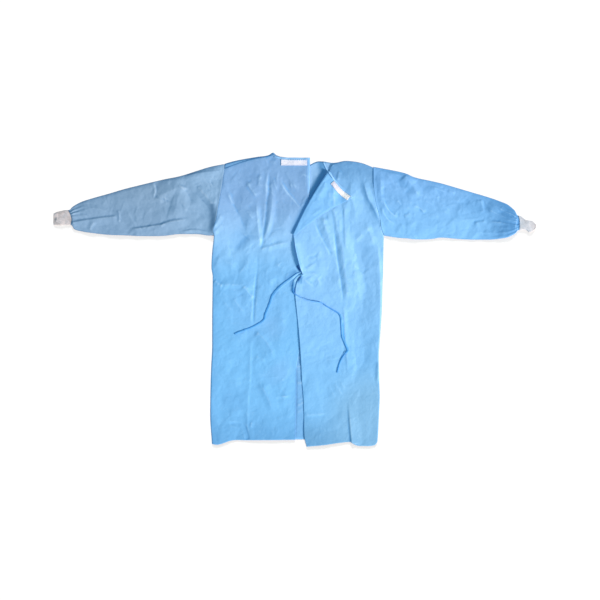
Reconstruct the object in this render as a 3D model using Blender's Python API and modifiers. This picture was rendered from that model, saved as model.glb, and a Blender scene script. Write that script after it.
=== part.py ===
# A surgical gown laid flat with its back side up.
# Sizes in the tables are millimetres; X runs to the right sleeve, Y to the neck, Z up.
# The floor is z = 0 and the origin lies under the middle of the laid-out gown.
import bpy
import bmesh
import math
from mathutils import Vector
from mathutils.bvhtree import BVHTree

MM = 0.001
WALL = 1.2
GAP = 0.3
CUFF_WALL = 1.6
TAPE_WALL = 1.0
TIE_WALL = 1.0
BINDING_WALL = 1.0

ARMPIT = 256
FRONT_MID = WALL / 2
BACK_MID = FRONT_MID + WALL + GAP
LAP_RISE = WALL + GAP

# The lap: the right back rides this far past the left back's edge at full height,
# then comes down to the front panel over the ramp.
LAP_FULL = 14.0
LAP_RAMP = 30.0
# It lies over the left back between these heights, easing down towards both.
LAP_BOTTOM = -290
LAP_BOTTOM_EASE = 60.0
LAP_TOP = 430
LAP_TOP_EASE = 40.0
# Below this height the left back has no folds within this distance of its edge.
OPEN_ABOVE = 400
UNDER_LAP = 50.0

HEM_BLEND = 120.0
SHOULDER_BLEND = 170.0
CREASE_FOOT = 13.0
# A fold dies away over this share of its length, as far past its end as inside it.
FOLD_RUN_OUT = 0.15
FOLD_SPREAD = 1.3

# Left back: x of the side, of the packing crease and of the centre edge at each height,
# and how far the crease stands up there.
LEFT_BACK = [
    # y, side, crease, centre, rise
    (-577, -331, -188, 2, 3.0),
    (-457, -338, -189, 4, 3.0),
    (-330, -336, -181, 6, 3.5),
    (-270, -334, -177, 7, 3.5),
    (-182, -330, -174, 21, 4.0),
    (-82, -330, -165, 26, 4.5),
    (10, -329, -160, 32, 5.0),
    (92, -328, -157, 39, 5.0),
    (129, -333, -154, 40, 5.0),
    (200, -329, -139, 44, 5.5),
    (256, -323, -128, 47, 6.0),
    (272, -327, -125, 48, 6.0),
    (323, -314, -118, 51, 5.5),
    (376, -305, -113, 53, 5.0),
    (425, -297, -108, 59, 4.5),
    (466, -292, -103, 61, 3.5),
    (524, -288, -101, 61, 2.0),
]
LEFT_HEM = [(-331, -577), (-312, -580), (-251, -563), (-190, -562), (-73, -561), (2, -560)]
LEFT_TOP = [
    (-288, 524), (-251, 537), (-188, 558), (-149, 567), (-104, 575), (-84, 580), (-56, 571), (61, 567),
]

# Right back, the same way; its centre edge ends at the foot of the folded corner.
RIGHT_BACK = [
    # y, centre, crease, side, rise
    (-566, 48, 228, 331, 4.0),
    (-540, 40, 222, 333, 4.0),
    (-456, 37, 216, 337, 3.0),
    (-386, 34, 213, 340, 3.0),
    (-328, 29, 210, 338, 3.5),
    (-230, 24, 208, 336, 4.0),
    (-122, 16, 200, 343, 4.0),
    (-46, 8, 195, 348, 4.5),
    (25, 2, 191, 350, 4.5),
    (84, 16, 186, 352, 5.0),
    (101, 31, 184, 353, 5.0),
    (121, 24, 182, 353, 5.0),
    (164, 12, 176, 354, 5.0),
    (256, -8, 163, 356, 5.0),
]
RIGHT_HEM = [
    (48, -588), (121, -581), (177, -573), (220, -569), (231, -575), (248, -583), (276, -585),
    (308, -584), (325, -577), (331, -566),
]
# Above the fold's foot: x of the crease and of the armhole.
RIGHT_YOKE = [
    # y, crease, armhole, rise
    (256, 163, 356, 5.0),
    (292, 162, 344, 5.0),
    (318, 168, 341, 4.0),
    (369, 187, 328, 2.5),
    (400, 196, 321, 1.5),
    (456, 212, 315, 1.0),
    (528, 232, 314, 0.0),
]
RIGHT_TOP = [
    (134, 512), (144, 533), (161, 546), (182, 553), (204, 556), (242, 552), (272, 545), (314, 528),
]

# The folded corner: a fold line from its foot on the centre edge to the neck edge,
# and the corner's free edge by its distance along and away from that line.
FOLD_FOOT = (-8, 256)
FOLD_NECK = (134, 512)
FOLD_BOW = -8.0
ROLL_FOOT = 2.6
ROLL_NECK = 6.0
CORNER_EDGE = [(0, 5), (87, 42), (173, 85), (249, 138)]
CORNER_NECK = [(249, 138), (265, 85), (272, 38), (292, 14)]
FLAP_EDGE_ROWS = 7
FLAP_NECK_ROWS = 5
CORNER_ON_FOLD = 0.66
ROLL_STEPS = 5
FLAP_STEPS = 9
FLAP_CLEAR = 2.4
FLAP_DROP = 110.0

# Front panel where it isn't under the backs: left shoulder, neck edge, right shoulder.
FRONT_TOP = [
    (-286, 541), (-261, 549), (-229, 557), (-197, 563), (-149, 571), (-104, 578), (-86, 588), (-62, 562),
    (-20, 530), (30, 528), (62, 540), (80, 549), (97, 553), (118, 552), (152, 547), (182, 550), (204, 553),
    (242, 549), (272, 542), (313, 526),
]
FRONT_HEM_Y = -559
FRONT_INSET = 2.0

# Folds on each piece: where each starts and ends, how far it bends aside,
# its half width and how far it stands up.
LEFT_BACK_FOLDS = [
    # x0, y0, x1, y1, bow, half, rise
    (-150, 190, -30, 218, 6, 20, 4.5),
    (-180, 440, -140, 290, -14, 24, 3.5),
    (-60, 440, 10, 378, 0, 20, 4.0),
    (-250, 400, -200, 250, -14, 26, 3.5),
    (-330, 70, -170, 48, -8, 22, 3.0),
    (-190, 44, -162, 6, 0, 20, 2.5),
    (-240, -508, -190, -520, 8, 20, 2.5),
    (-90, 440, -84, 320, 0, 20, 3.0),
]
RIGHT_BACK_FOLDS = [
    (44, -456, 216, -446, 6, 20, 3.0),
    (334, -246, 262, -310, 0, 26, 3.5),
    (153, 350, 168, 298, 0, 16, 3.5),
    (106, 332, 128, 296, 0, 16, 3.5),
    (72, 306, 120, 216, 6, 18, 4.0),
    (272, 482, 330, 300, 10, 22, 5.0),
    (40, 100, 110, 96, 4, 20, 5.5),
    (40, 112, 90, 150, 4, 20, 4.5),
    (34, 84, 84, 48, 4, 20, 4.5),
    (250, -460, 254, -560, -8, 20, 5.0),
]
LEFT_SLEEVE_FOLDS = [
    (-880, 305, -710, 330, 6, 16, 3.5),
    (-660, 290, -420, 326, 8, 18, 4.0),
    (-560, 470, -575, 380, 8, 18, 3.5),
    (-440, 470, -470, 320, 8, 20, 3.5),
    (-390, 450, -330, 380, 0, 18, 3.0),
]
RIGHT_SLEEVE_FOLDS = [
    (420, 500, 540, 440, -10, 22, 4.0),
    (390, 400, 470, 340, -14, 22, 3.0),
    (690, 290, 880, 296, 4, 16, 4.0),
    (740, 400, 880, 330, -10, 16, 4.0),
    (770, 400, 800, 350, 6, 14, 3.5),
    (600, 320, 660, 300, 4, 18, 2.5),
]

# Sleeves: upper and lower edge at each distance out from the body.
LEFT_SLEEVE = [
    # x, upper, lower, hollow
    (-288, 541, 256, 0.6),
    (-341, 530, 256, 1.2),
    (-393, 514, 262, 2.2),
    (-457, 494, 262, 2.8),
    (-521, 481, 255, 2.8),
    (-617, 458, 254, 2.8),
    (-681, 442, 257, 2.8),
    (-745, 423, 259, 2.6),
    (-809, 405, 266, 2.6),
    (-857, 389, 274, 2.4),
    (-884, 374, 283, 2.2),
    (-899, 362, 298, 2.0),
]
RIGHT_SLEEVE = [
    (314, 531, 256, 0.6),
    (363, 522, 246, 1.2),
    (423, 510, 240, 2.2),
    (487, 489, 239, 2.8),
    (551, 473, 243, 2.8),
    (585, 465, 248, 2.8),
    (647, 447, 243, 2.8),
    (711, 428, 240, 2.6),
    (775, 409, 240, 2.6),
    (823, 392, 244, 2.4),
    (853, 379, 250, 2.4),
    (878, 358, 262, 2.2),
    (897, 338, 277, 2.0),
]
# The cuff end of each sleeve bows out towards the hand.
LEFT_CUFF_SEAM = [(-896, 299), (-892, 318), (-896, 338), (-906, 358)]
RIGHT_CUFF_SEAM = [(897, 278), (899, 296), (898, 318), (894, 336)]
SLEEVE_SECTIONS = 21
SECTION_SPREAD = 1.25
ARMHOLE_BLEND = 0.35
CUFF_BLEND = 0.025
SLEEVE_COLLAR = 0.002
# Shares of a sleeve over which its folds rise from the armhole, the cuff and its two edges.
ARMHOLE_EASE = 0.08
CUFF_EASE = 0.02
EDGE_EASE = 0.12
GATHER_REACH = 95.0
LEFT_GATHERS = 5
RIGHT_GATHERS = 7
GATHER_RISE = 3.0

# Cuffs: flat knitted tubes by their edges; the right one is crumpled and flares out.
LEFT_CUFF = [
    # x, upper, lower, hollow
    (-893, 357, 299, 1.6),
    (-906, 357, 299, 2.4),
    (-925, 354, 299, 2.6),
    (-945, 351, 298, 2.4),
    (-964, 344, 298, 1.8),
]
RIGHT_CUFF = [
    (900, 330, 278, 1.6),
    (912, 323, 281, 2.4),
    (927, 318, 278, 3.0),
    (941, 316, 269, 3.2),
    (953, 313, 275, 2.8),
    (964, 301, 286, 1.6),
]
CUFF_SECTIONS = 6
CUFF_SEAM_REACH = 0.5
EDGE_STEPS = 3
EDGE_CLEAR = 1.5

# Tapes, bindings and ties lie on the panels: route, width and lean of each section.
# A lean of 0 lies flat and 90 stands on its edge.
LOOP_TAPE = [(-55, 549, 24, 0), (-3, 549, 24, 0), (49, 549, 24, 0)]
HOOK_TAPE = [(150, 467, 18, 0), (171, 443, 19, 0), (193, 422, 20, 0), (216, 405, 20, 0)]
LEFT_BINDING = [(-82, 572, 5, 0), (-56, 566, 5, 0), (0, 565, 5, 0), (57, 564, 5, 0)]
RIGHT_BINDING = [
    (115, 549, 5, 0), (126, 524, 5, 0), (140, 502, 5, 0), (161, 477, 5, 0), (183, 454, 5, 0),
    (206, 433, 5, 0), (229, 412, 5, 0),
]
LEFT_TIE = [
    # x, y, width, lean
    (26, 108, 4, 20),
    (-1, 98, 7, 0),
    (-22, 82, 13, 0),
    (-50, 58, 15, 0),
    (-73, 36, 13, 10),
    (-88, 16, 11, 40),
    (-101, -20, 11, 72),
    (-116, -56, 11, 76),
    (-124, -81, 11, 60),
    (-160, -106, 11, 40),
    (-200, -122, 11, 62),
    (-239, -137, 11, 40),
]
RIGHT_TIE = [
    (38, 99, 4, 0),
    (12, 89, 8, 10),
    (3, 74, 13, 0),
    (-4, 56, 12, 20),
    (-8, 37, 10, 50),
    (-4, 27, 10, 70),
    (20, 11, 11, 76),
    (55, -4, 11, 76),
    (85, -10, 11, 70),
    (108, -14, 11, 60),
    (126, -26, 11, 40),
    (153, -42, 11, 40),
    (175, -55, 11, 30),
    (187, -73, 12, 0),
    (189, -104, 12, 0),
    (193, -150, 12, 10),
    (212, -202, 12, 30),
    (200, -216, 11, 60),
    (189, -232, 11, 76),
    (178, -257, 11, 60),
    (169, -292, 11, 50),
]
STRIP_STEP = 9.0
STRIP_REACH = 4.0
STANDS_FROM = 15.0
ABOVE_ALL = 200.0

CLOTH_ROUGHNESS = 0.75
KNIT_ROUGHNESS = 0.9
BODY_BLUE = (0.25, 0.57, 0.93)
INSIDE_BLUE = (0.22, 0.50, 0.83)
BINDING_BLUE = (0.35, 0.66, 0.97)
KNIT_GREY = (0.56, 0.57, 0.61)
TAPE_WHITE = (0.78, 0.82, 0.95)

BODY_ROWS = 34
YOKE_ROWS = FLAP_EDGE_ROWS + FLAP_NECK_ROWS
SIDE_COLUMNS = 7
CENTRE_COLUMNS = 8


def clear_scene():
    for old in list(bpy.data.objects):
        bpy.data.objects.remove(old, do_unlink=True)


def lerp(a, b, f):
    return a + (b - a) * f


def smooth(f):
    f = min(max(f, 0.0), 1.0)
    return f * f * (3 - 2 * f)


def column(table, index):
    return [(row[0], row[index]) for row in table]


def read(pairs, at):
    # The value of a two-column table at one place, on straight lines between its rows.
    if (at - pairs[0][0]) * (pairs[-1][0] - pairs[0][0]) <= 0:
        return pairs[0][1]
    for (a, first), (b, second) in zip(pairs, pairs[1:]):
        if (at - a) * (at - b) <= 0:
            return lerp(first, second, (at - a) / (b - a))
    return pairs[-1][1]


def along(points, fraction):
    # A point of a smooth curve through all the points, by its share of their length.
    points = [Vector(point) for point in points]
    steps = [(b - a).length for a, b in zip(points, points[1:])]
    distance = fraction * sum(steps)
    index = 0
    while index < len(steps) - 1 and distance > steps[index]:
        distance -= steps[index]
        index += 1
    f = min(distance / steps[index], 1.0)
    a, b = points[index], points[index + 1]
    before = points[index - 1] if index else a - (b - a)
    after = points[index + 2] if index + 2 < len(points) else b + (b - a)
    into = (b - before) / (steps[index - 1] + steps[index] if index else 2 * steps[index]) * steps[index]
    last = index + 2 == len(points)
    out = (after - a) / (2 * steps[index] if last else steps[index] + steps[index + 1]) * steps[index]
    return (2 * f**3 - 3 * f**2 + 1) * a + (f**3 - 2 * f**2 + f) * into \
        + (3 * f**2 - 2 * f**3) * b + (f**3 - f**2) * out


def fold_height(folds, x, y):
    # The highest of the folds here; each is a soft ridge that dies away at its ends.
    height = 0.0
    for x0, y0, x1, y1, bow, half, rise in folds:
        run = Vector((x1 - x0, y1 - y0))
        across = Vector((-run.y, run.x)).normalized()
        offset = Vector((x - x0, y - y0))
        f = offset.dot(run) / run.length_squared
        inside = min(f, 1 - f)
        if inside > -FOLD_RUN_OUT:
            distance = abs(offset.dot(across) - bow * math.sin(math.pi * min(max(f, 0), 1)))
            ends = smooth((inside + FOLD_RUN_OUT) / (2 * FOLD_RUN_OUT))
            height = max(height, rise * ends * smooth(1 - distance / (half * FOLD_SPREAD)))
    return height


def left_centre(y):
    return read(column(LEFT_BACK, 3), y)


def left_back_mid(x, y):
    clear_of_lap = smooth((left_centre(y) - UNDER_LAP - x) / LAP_RAMP) if y < OPEN_ABOVE else 1.0
    return BACK_MID + clear_of_lap * fold_height(LEFT_BACK_FOLDS, x, y)


def right_back_mid(x, y):
    past_edge = x - left_centre(y)
    lap = LAP_RISE * (1 - smooth((past_edge - LAP_FULL) / LAP_RAMP))
    fade = smooth((LAP_TOP - y) / LAP_TOP_EASE) * smooth((y - LAP_BOTTOM) / LAP_BOTTOM_EASE)
    return BACK_MID + lap * fade + fold_height(RIGHT_BACK_FOLDS, x, y)


def crease_columns(left, crease, right, left_count, right_count):
    # Columns of a row, with one on the crease and one at each foot of it.
    row = [lerp(left, crease - CREASE_FOOT, i / (left_count - 1)) for i in range(left_count)]
    row.append(crease)
    row += [lerp(crease + CREASE_FOOT, right, i / (right_count - 1)) for i in range(right_count)]
    return row


def new_material(name, color, roughness):
    material = bpy.data.materials.new(name)
    material.use_nodes = True
    shader = material.node_tree.nodes["Principled BSDF"]
    shader.inputs["Base Color"].default_value = (*color, 1)
    shader.inputs["Roughness"].default_value = roughness
    shader.inputs["Metallic"].default_value = 0
    return material


def finish_object(name, data, color, roughness, wall=None):
    piece = bpy.data.objects.new(name, data)
    bpy.data.collections["surgical_gown"].objects.link(piece)
    data.materials.append(new_material(name + "_cloth", color, roughness))
    if wall:
        shell = piece.modifiers.new("wall", "SOLIDIFY")
        shell.thickness = wall * MM
        shell.offset = 0
        shell.use_even_offset = True
    return piece


def mesh_from_grids(name, grids, closed=False):
    # Quads between each row of points and the next; a point that two rows share is one vertex.
    mesh = bpy.data.meshes.new(name)
    build = bmesh.new()
    made = {}

    def vertex(point):
        key = point.freeze()
        if key not in made:
            made[key] = build.verts.new(point * MM)
        return made[key]

    for rows in grids:
        for low, high in zip(rows, rows[1:]):
            for i in range(len(low) if closed else len(low) - 1):
                j = (i + 1) % len(low)
                build.faces.new([vertex(point) for point in (low[i], low[j], high[j], high[i])])
    build.to_mesh(mesh)
    build.free()
    mesh.shade_smooth()
    return mesh


def armhole_points(pairs, levels):
    return [(read(pairs, level), level) for level in levels]


def left_yoke_levels():
    return [lerp(ARMPIT, LEFT_BACK[-1][0], i / YOKE_ROWS) for i in range(YOKE_ROWS + 1)]


def right_yoke_levels():
    # Each row of the right yoke starts at its own place on the fold line.
    levels = []
    for row in range(YOKE_ROWS + 1):
        rise = (fold_point(fold_share(row)).y - FOLD_FOOT[1]) / (FOLD_NECK[1] - FOLD_FOOT[1])
        levels.append(lerp(ARMPIT, RIGHT_YOKE[-1][0], rise))
    return levels


def left_back_rows():
    bottom, top = LEFT_BACK[0][0], LEFT_BACK[-1][0]
    side, crease, centre, rise = (column(LEFT_BACK, i) for i in (1, 2, 3, 4))
    levels = [lerp(bottom, ARMPIT, i / BODY_ROWS) for i in range(BODY_ROWS)] + left_yoke_levels()
    rows = []
    for level in levels:
        xs = crease_columns(read(side, level), read(crease, level), read(centre, level),
                            SIDE_COLUMNS, CENTRE_COLUMNS)
        points = []
        for i, x in enumerate(xs):
            at_hem = smooth((bottom + HEM_BLEND - level) / HEM_BLEND)
            at_top = smooth((level - top + SHOULDER_BLEND) / SHOULDER_BLEND)
            y = level + at_hem * (read(LEFT_HEM, x) - bottom) + at_top * (read(LEFT_TOP, x) - top)
            ridge = read(rise, level) if i == SIDE_COLUMNS else 0.0
            points.append(Vector((x, y, max(left_back_mid(x, y), BACK_MID + ridge))))
        rows.append(points)
    return rows


def fold_along():
    return (Vector(FOLD_NECK) - Vector(FOLD_FOOT)).normalized()


def fold_away():
    run = fold_along()
    return Vector((run.y, -run.x))


def fold_point(fraction):
    straight = Vector(FOLD_FOOT).lerp(Vector(FOLD_NECK), fraction)
    return straight + fold_away() * FOLD_BOW * math.sin(math.pi * fraction)


def roll_radius(share):
    return lerp(ROLL_FOOT, ROLL_NECK, share * share)


def flap_end(row):
    # Where the folded corner's row ends: up its free edge to the corner, then along the neck edge.
    if row <= FLAP_EDGE_ROWS:
        share, side = row / FLAP_EDGE_ROWS, CORNER_EDGE
    else:
        share, side = (row - FLAP_EDGE_ROWS) / FLAP_NECK_ROWS, CORNER_NECK
    distance, width = along(side, share)
    return Vector(FOLD_FOOT) + fold_along() * distance + fold_away() * width


def fold_share(row):
    if row <= FLAP_EDGE_ROWS:
        return CORNER_ON_FOLD * row / FLAP_EDGE_ROWS
    return lerp(CORNER_ON_FOLD, 1, (row - FLAP_EDGE_ROWS) / FLAP_NECK_ROWS)


def right_body_rows():
    bottom = RIGHT_BACK[0][0]
    centre, crease, side, rise = (column(RIGHT_BACK, i) for i in (1, 2, 3, 4))
    rows = []
    for step in range(BODY_ROWS + 1):
        level = lerp(bottom, ARMPIT, step / BODY_ROWS)
        xs = crease_columns(read(centre, level), read(crease, level), read(side, level),
                            CENTRE_COLUMNS, SIDE_COLUMNS)
        if step == BODY_ROWS:
            xs[0] += ROLL_FOOT
        points = []
        for i, x in enumerate(xs):
            at_hem = smooth((bottom + HEM_BLEND - level) / HEM_BLEND)
            y = level + at_hem * (read(RIGHT_HEM, x) - bottom)
            ridge = read(rise, level) if i == CENTRE_COLUMNS else 0.0
            mid = right_back_mid(x, y)
            points.append(Vector((x, y, max(mid, BACK_MID + ridge))))
        rows.append(points)
    return rows


def right_yoke_rows():
    # From the fold's foot to the neck: each row runs from the fold line to the armhole.
    crease, side, rise = (column(RIGHT_YOKE, i) for i in (1, 2, 3))
    top = RIGHT_YOKE[-1][0]
    levels = right_yoke_levels()
    rows = []
    for row in range(YOKE_ROWS + 1):
        share = fold_share(row)
        start = fold_point(share) + fold_away() * roll_radius(share)
        level = levels[row]
        outer = read(side, level)
        middle = max(read(crease, level), start.x + 2 * CREASE_FOOT)
        xs = crease_columns(start.x, middle, outer, CENTRE_COLUMNS, SIDE_COLUMNS)
        points = []
        for i, x in enumerate(xs):
            f = smooth((x - start.x) / (outer - start.x))
            flat_y = lerp(start.y, level, f)
            at_top = smooth((level - top + SHOULDER_BLEND) / SHOULDER_BLEND)
            lift = read(RIGHT_TOP, x) - lerp(RIGHT_TOP[0][1], top, f)
            y = flat_y + (at_top * lift if i else 0.0)
            ridge = read(rise, level) if i == CENTRE_COLUMNS else 0.0
            points.append(Vector((x, y, max(right_back_mid(x, y), BACK_MID + ridge))))
        rows.append(points)
    return rows


def under_flap(x, y):
    # The highest wall mid-plane that the folded corner has to clear: the panel, its folds and its crease.
    crease, rise = column(RIGHT_YOKE, 1), column(RIGHT_YOKE, 3)
    ridge = read(rise, y) * max(1 - abs(x - read(crease, y)) / (2 * CREASE_FOOT), 0.0)
    return max(right_back_mid(x, y), BACK_MID + ridge)


def flap_rows(yoke):
    # The roll over the fold line and the corner lying back on the panel, from free edge to roll.
    away = fold_away()
    rows = []
    for row in range(YOKE_ROWS + 1):
        share = fold_share(row)
        radius = roll_radius(share)
        foot = yoke[row][0]
        edge = fold_point(share)
        points = []
        for step in range(1, ROLL_STEPS + 1):
            turn = math.pi * step / ROLL_STEPS
            plan = edge + away * radius * (1 - math.sin(turn))
            points.append(Vector((*plan, foot.z + radius * (1 - math.cos(turn)))))
        start, end = edge + away * radius, flap_end(row)
        for step in range(1, FLAP_STEPS + 1):
            plan = start.lerp(end, step / FLAP_STEPS)
            rest = under_flap(*plan) + FLAP_CLEAR
            distance = (plan - start).dot(away)
            roll_top = foot.z + 2 * radius
            drop = 1 - smooth(distance / FLAP_DROP)
            points.append(Vector((*plan, max(rest, lerp(rest, roll_top, drop)))))
        points.reverse()
        rows.append(points)
    return rows


def make_left_back():
    mesh = mesh_from_grids("back_left", [left_back_rows()])
    return finish_object("back_left", mesh, BODY_BLUE, CLOTH_ROUGHNESS, WALL)


def make_right_back():
    # The lower rows, then rows that each run from the corner's free edge over the roll to the armhole.
    body = right_body_rows()
    yoke = right_yoke_rows()
    yoke[0] = body[-1]
    wide = [flap + row for flap, row in zip(flap_rows(yoke), yoke)]
    mesh = mesh_from_grids("back_right", [body, wide])
    return finish_object("back_right", mesh, BODY_BLUE, CLOTH_ROUGHNESS, WALL)


def make_front():
    # One flat outline: up the left side and armhole, over the shoulders and neck, down the right.
    left_side = [pair for pair in column(LEFT_BACK, 1) if pair[0] < ARMPIT]
    right_side = [pair for pair in column(RIGHT_BACK, 3) if pair[0] < ARMPIT]
    outline = [(side + FRONT_INSET, max(y, FRONT_HEM_Y)) for y, side in left_side]
    outline += armhole_points(column(LEFT_BACK, 1), left_yoke_levels()[::2])
    outline += FRONT_TOP
    outline += reversed(armhole_points(column(RIGHT_YOKE, 2), right_yoke_levels()[::2]))
    outline += [(side - FRONT_INSET, max(y, FRONT_HEM_Y)) for y, side in reversed(right_side)]
    curve = bpy.data.curves.new("front_panel", "CURVE")
    curve.dimensions = "2D"
    curve.fill_mode = "BOTH"
    curve.extrude = WALL / 2 * MM
    spline = curve.splines.new("POLY")
    spline.points.add(len(outline) - 1)
    for slot, (x, y) in zip(spline.points, outline):
        slot.co = (x * MM, y * MM, 0, 1)
    spline.use_cyclic_u = True
    piece = finish_object("front_panel", curve, INSIDE_BLUE, CLOTH_ROUGHNESS)
    piece.location.z = FRONT_MID * MM
    return piece


def tube_ring(section, across, top_marks, under_marks, radius, wall, top_height):
    # One ring of a flattened tube: along the underside, round the upper edge, back over the top.
    centre = wall / 2 + radius
    turns = [math.pi * (i / EDGE_STEPS - 0.5) for i in range(EDGE_STEPS + 1)]
    inset = radius / (across(1) - across(0)).length
    clear = EDGE_CLEAR * inset
    top_marks = [min(max(f, clear), 1 - clear) for f in top_marks]
    under_marks = [min(max(f, clear), 1 - clear) for f in under_marks]
    ring = [Vector((*across(f), wall / 2)) for f in under_marks]
    for turn in turns:
        plan = across(1 - inset * (1 - math.cos(turn)))
        ring.append(Vector((*plan, centre + radius * math.sin(turn))))
    for f in reversed(top_marks):
        plan = across(f)
        ring.append(Vector((*plan, centre + radius + top_height(section, f, *plan))))
    for turn in reversed(turns):
        plan = across(inset * (1 - math.cos(turn)))
        ring.append(Vector((*plan, centre + radius * math.sin(turn))))
    return ring


def make_sleeve(name, table, armhole, levels, cuff_seam, folds, gathers, outward):
    upper, lower, hollow = (column(table, i) for i in (1, 2, 3))
    armhole_top = table[0][1]
    marks = [(level - ARMPIT) / (armhole_top - ARMPIT) for level in levels[1:]]

    def plan(section, f):
        y = lerp(ARMPIT, armhole_top, f)
        start = Vector((read(armhole, y) + outward * GAP, y))
        end = along(cuff_seam, f)
        x = lerp(start.x, end.x, section)
        y = lerp(read(lower, x), read(upper, x), f)
        at_start = lerp(read(lower, start.x), read(upper, start.x), f)
        y += smooth(1 - section / ARMHOLE_BLEND) * (start.y - at_start)
        return Vector((x, lerp(y, end.y, smooth(1 - (1 - section) / CUFF_BLEND))))

    def height(section, f, x, y):
        pull = smooth(1 - abs(x - cuff_seam[1][0]) / GATHER_REACH)
        ends = smooth(section / ARMHOLE_EASE) * smooth((1 - section) / CUFF_EASE)
        edges = smooth(f / EDGE_EASE) * smooth((1 - f) / EDGE_EASE)
        wave = 0.5 - 0.5 * math.cos(2 * math.pi * gathers * f)
        return ends * edges * max(fold_height(folds, x, y), GATHER_RISE * pull * wave)

    sections = [1 - (1 - step / SLEEVE_SECTIONS) ** SECTION_SPREAD for step in range(SLEEVE_SECTIONS)]
    rings = []
    for section in sections + [1 - SLEEVE_COLLAR, 1]:
        radius = (read(hollow, plan(section, 0.5).x) + WALL) / 2
        rings.append(tube_ring(section, lambda f: plan(section, f), marks, marks[1:-1:2],
                               radius, WALL, height))
    if outward < 0:
        rings.reverse()
    mesh = mesh_from_grids(name, [rings], closed=True)
    return finish_object(name, mesh, BODY_BLUE, CLOTH_ROUGHNESS, WALL)


def make_cuff(name, table, seam, outward):
    upper, lower, hollow = (column(table, i) for i in (1, 2, 3))
    first, last = table[0][0], table[-1][0]
    marks = [i / YOKE_ROWS for i in range(1, YOKE_ROWS)]

    def plan(section, f):
        start = along(seam, f)
        x = lerp(first, last, section)
        y = lerp(read(lower, x), read(upper, x), f)
        y = lerp(y, start.y, smooth(1 - section / CUFF_SEAM_REACH))
        return Vector((lerp(start.x + outward * GAP, last, section), y))

    rings = []
    for step in range(CUFF_SECTIONS + 1):
        section = step / CUFF_SECTIONS
        radius = (read(hollow, lerp(first, last, section)) + CUFF_WALL) / 2
        rings.append(tube_ring(section, lambda f: plan(section, f), marks, marks[1:-1:2],
                               radius, CUFF_WALL, lambda *place: 0.0))
    if outward < 0:
        rings.reverse()
    mesh = mesh_from_grids(name, [rings], closed=True)
    return finish_object(name, mesh, KNIT_GREY, KNIT_ROUGHNESS, CUFF_WALL)


def surface_tree(pieces):
    # Everything that a strip can lie on, as it stands with its wall thickness.
    depsgraph = bpy.context.evaluated_depsgraph_get()
    build = bmesh.new()
    for piece in pieces:
        data = bpy.data.meshes.new_from_object(piece.evaluated_get(depsgraph))
        data.transform(piece.matrix_world)
        build.from_mesh(data)
        bpy.data.meshes.remove(data)
    tree = BVHTree.FromBMesh(build)
    build.free()
    return tree


def surface_height(tree, x, y, reach):
    # The highest surface within reach of a place, in millimetres.
    highest = 0.0
    for dx in (-reach, 0, reach):
        for dy in (-reach, 0, reach):
            start = Vector((x + dx, y + dy, ABOVE_ALL)) * MM
            hit = tree.ray_cast(start, Vector((0, 0, -1)))[0]
            if hit:
                highest = max(highest, hit.z / MM)
    return highest


def make_strip(name, route, wall, tree, color, columns=2):
    # A flat strip laid along its route on whatever is under it, leaning where the table says.
    # A flat stretch follows the cloth under each of its edges; a leaning one stands on its lower edge.
    marks = [lerp(-1, 1, i / (columns - 1)) for i in range(columns)]
    points = [Vector(row) for row in route]
    length = sum((b.xy - a.xy).length for a, b in zip(points, points[1:]))
    count = max(int(length / STRIP_STEP), 3)
    samples = [along(points, i / count) for i in range(count + 1)]
    plans, floors, lifts = [], [], []
    for i, (x, y, width, lean) in enumerate(samples):
        run = (samples[min(i + 1, count)].xy - samples[max(i - 1, 0)].xy).normalized()
        side = Vector((run.y, -run.x))
        tilt = math.radians(lean)
        plan = [Vector((x, y)) + side * width / 2 * math.cos(tilt) * mark for mark in marks]
        floor = [surface_height(tree, *spot, STRIP_REACH) for spot in plan]
        stands = smooth(lean / STANDS_FROM)
        floors.append([lerp(height, max(floor), stands) for height in floor])
        plans.append(plan)
        lying = GAP + wall / 2 * math.cos(tilt)
        lifts.append([lying + width / 2 * math.sin(tilt) * (1 - mark) for mark in marks])
    rows = []
    for i, (plan, lift) in enumerate(zip(plans, lifts)):
        under = [max(heights) for heights in zip(*floors[max(i - 1, 0):i + 2])]
        rows.append([Vector((*spot, low + rise)) for spot, low, rise in zip(plan, under, lift)])
    mesh = mesh_from_grids(name, [rows])
    return finish_object(name, mesh, color, CLOTH_ROUGHNESS, wall)


def make_gown():
    clear_scene()
    gown = bpy.data.collections.new("surgical_gown")
    bpy.context.scene.collection.children.link(gown)
    panels = [make_front(), make_left_back(), make_right_back()]
    make_sleeve("sleeve_left", LEFT_SLEEVE, column(LEFT_BACK, 1), left_yoke_levels(), LEFT_CUFF_SEAM,
                LEFT_SLEEVE_FOLDS, LEFT_GATHERS, -1)
    make_sleeve("sleeve_right", RIGHT_SLEEVE, column(RIGHT_YOKE, 2), right_yoke_levels(), RIGHT_CUFF_SEAM,
                RIGHT_SLEEVE_FOLDS, RIGHT_GATHERS, 1)
    make_cuff("cuff_left", LEFT_CUFF, LEFT_CUFF_SEAM, -1)
    make_cuff("cuff_right", RIGHT_CUFF, RIGHT_CUFF_SEAM, 1)
    cloth = surface_tree(panels)
    make_strip("loop_tape", LOOP_TAPE, TAPE_WALL, cloth, TAPE_WHITE, 4)
    make_strip("hook_tape", HOOK_TAPE, TAPE_WALL, cloth, TAPE_WHITE, 4)
    make_strip("neck_binding_left", LEFT_BINDING, BINDING_WALL, cloth, BINDING_BLUE)
    make_strip("neck_binding_right", RIGHT_BINDING, BINDING_WALL, cloth, BINDING_BLUE)
    make_strip("tie_left", LEFT_TIE, TIE_WALL, cloth, BODY_BLUE)
    make_strip("tie_right", RIGHT_TIE, TIE_WALL, cloth, BODY_BLUE)


make_gown()
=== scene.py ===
import math

import bpy
import bmesh
import numpy as np
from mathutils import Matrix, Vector, geometry, noise
from mathutils.bvhtree import BVHTree


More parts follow.
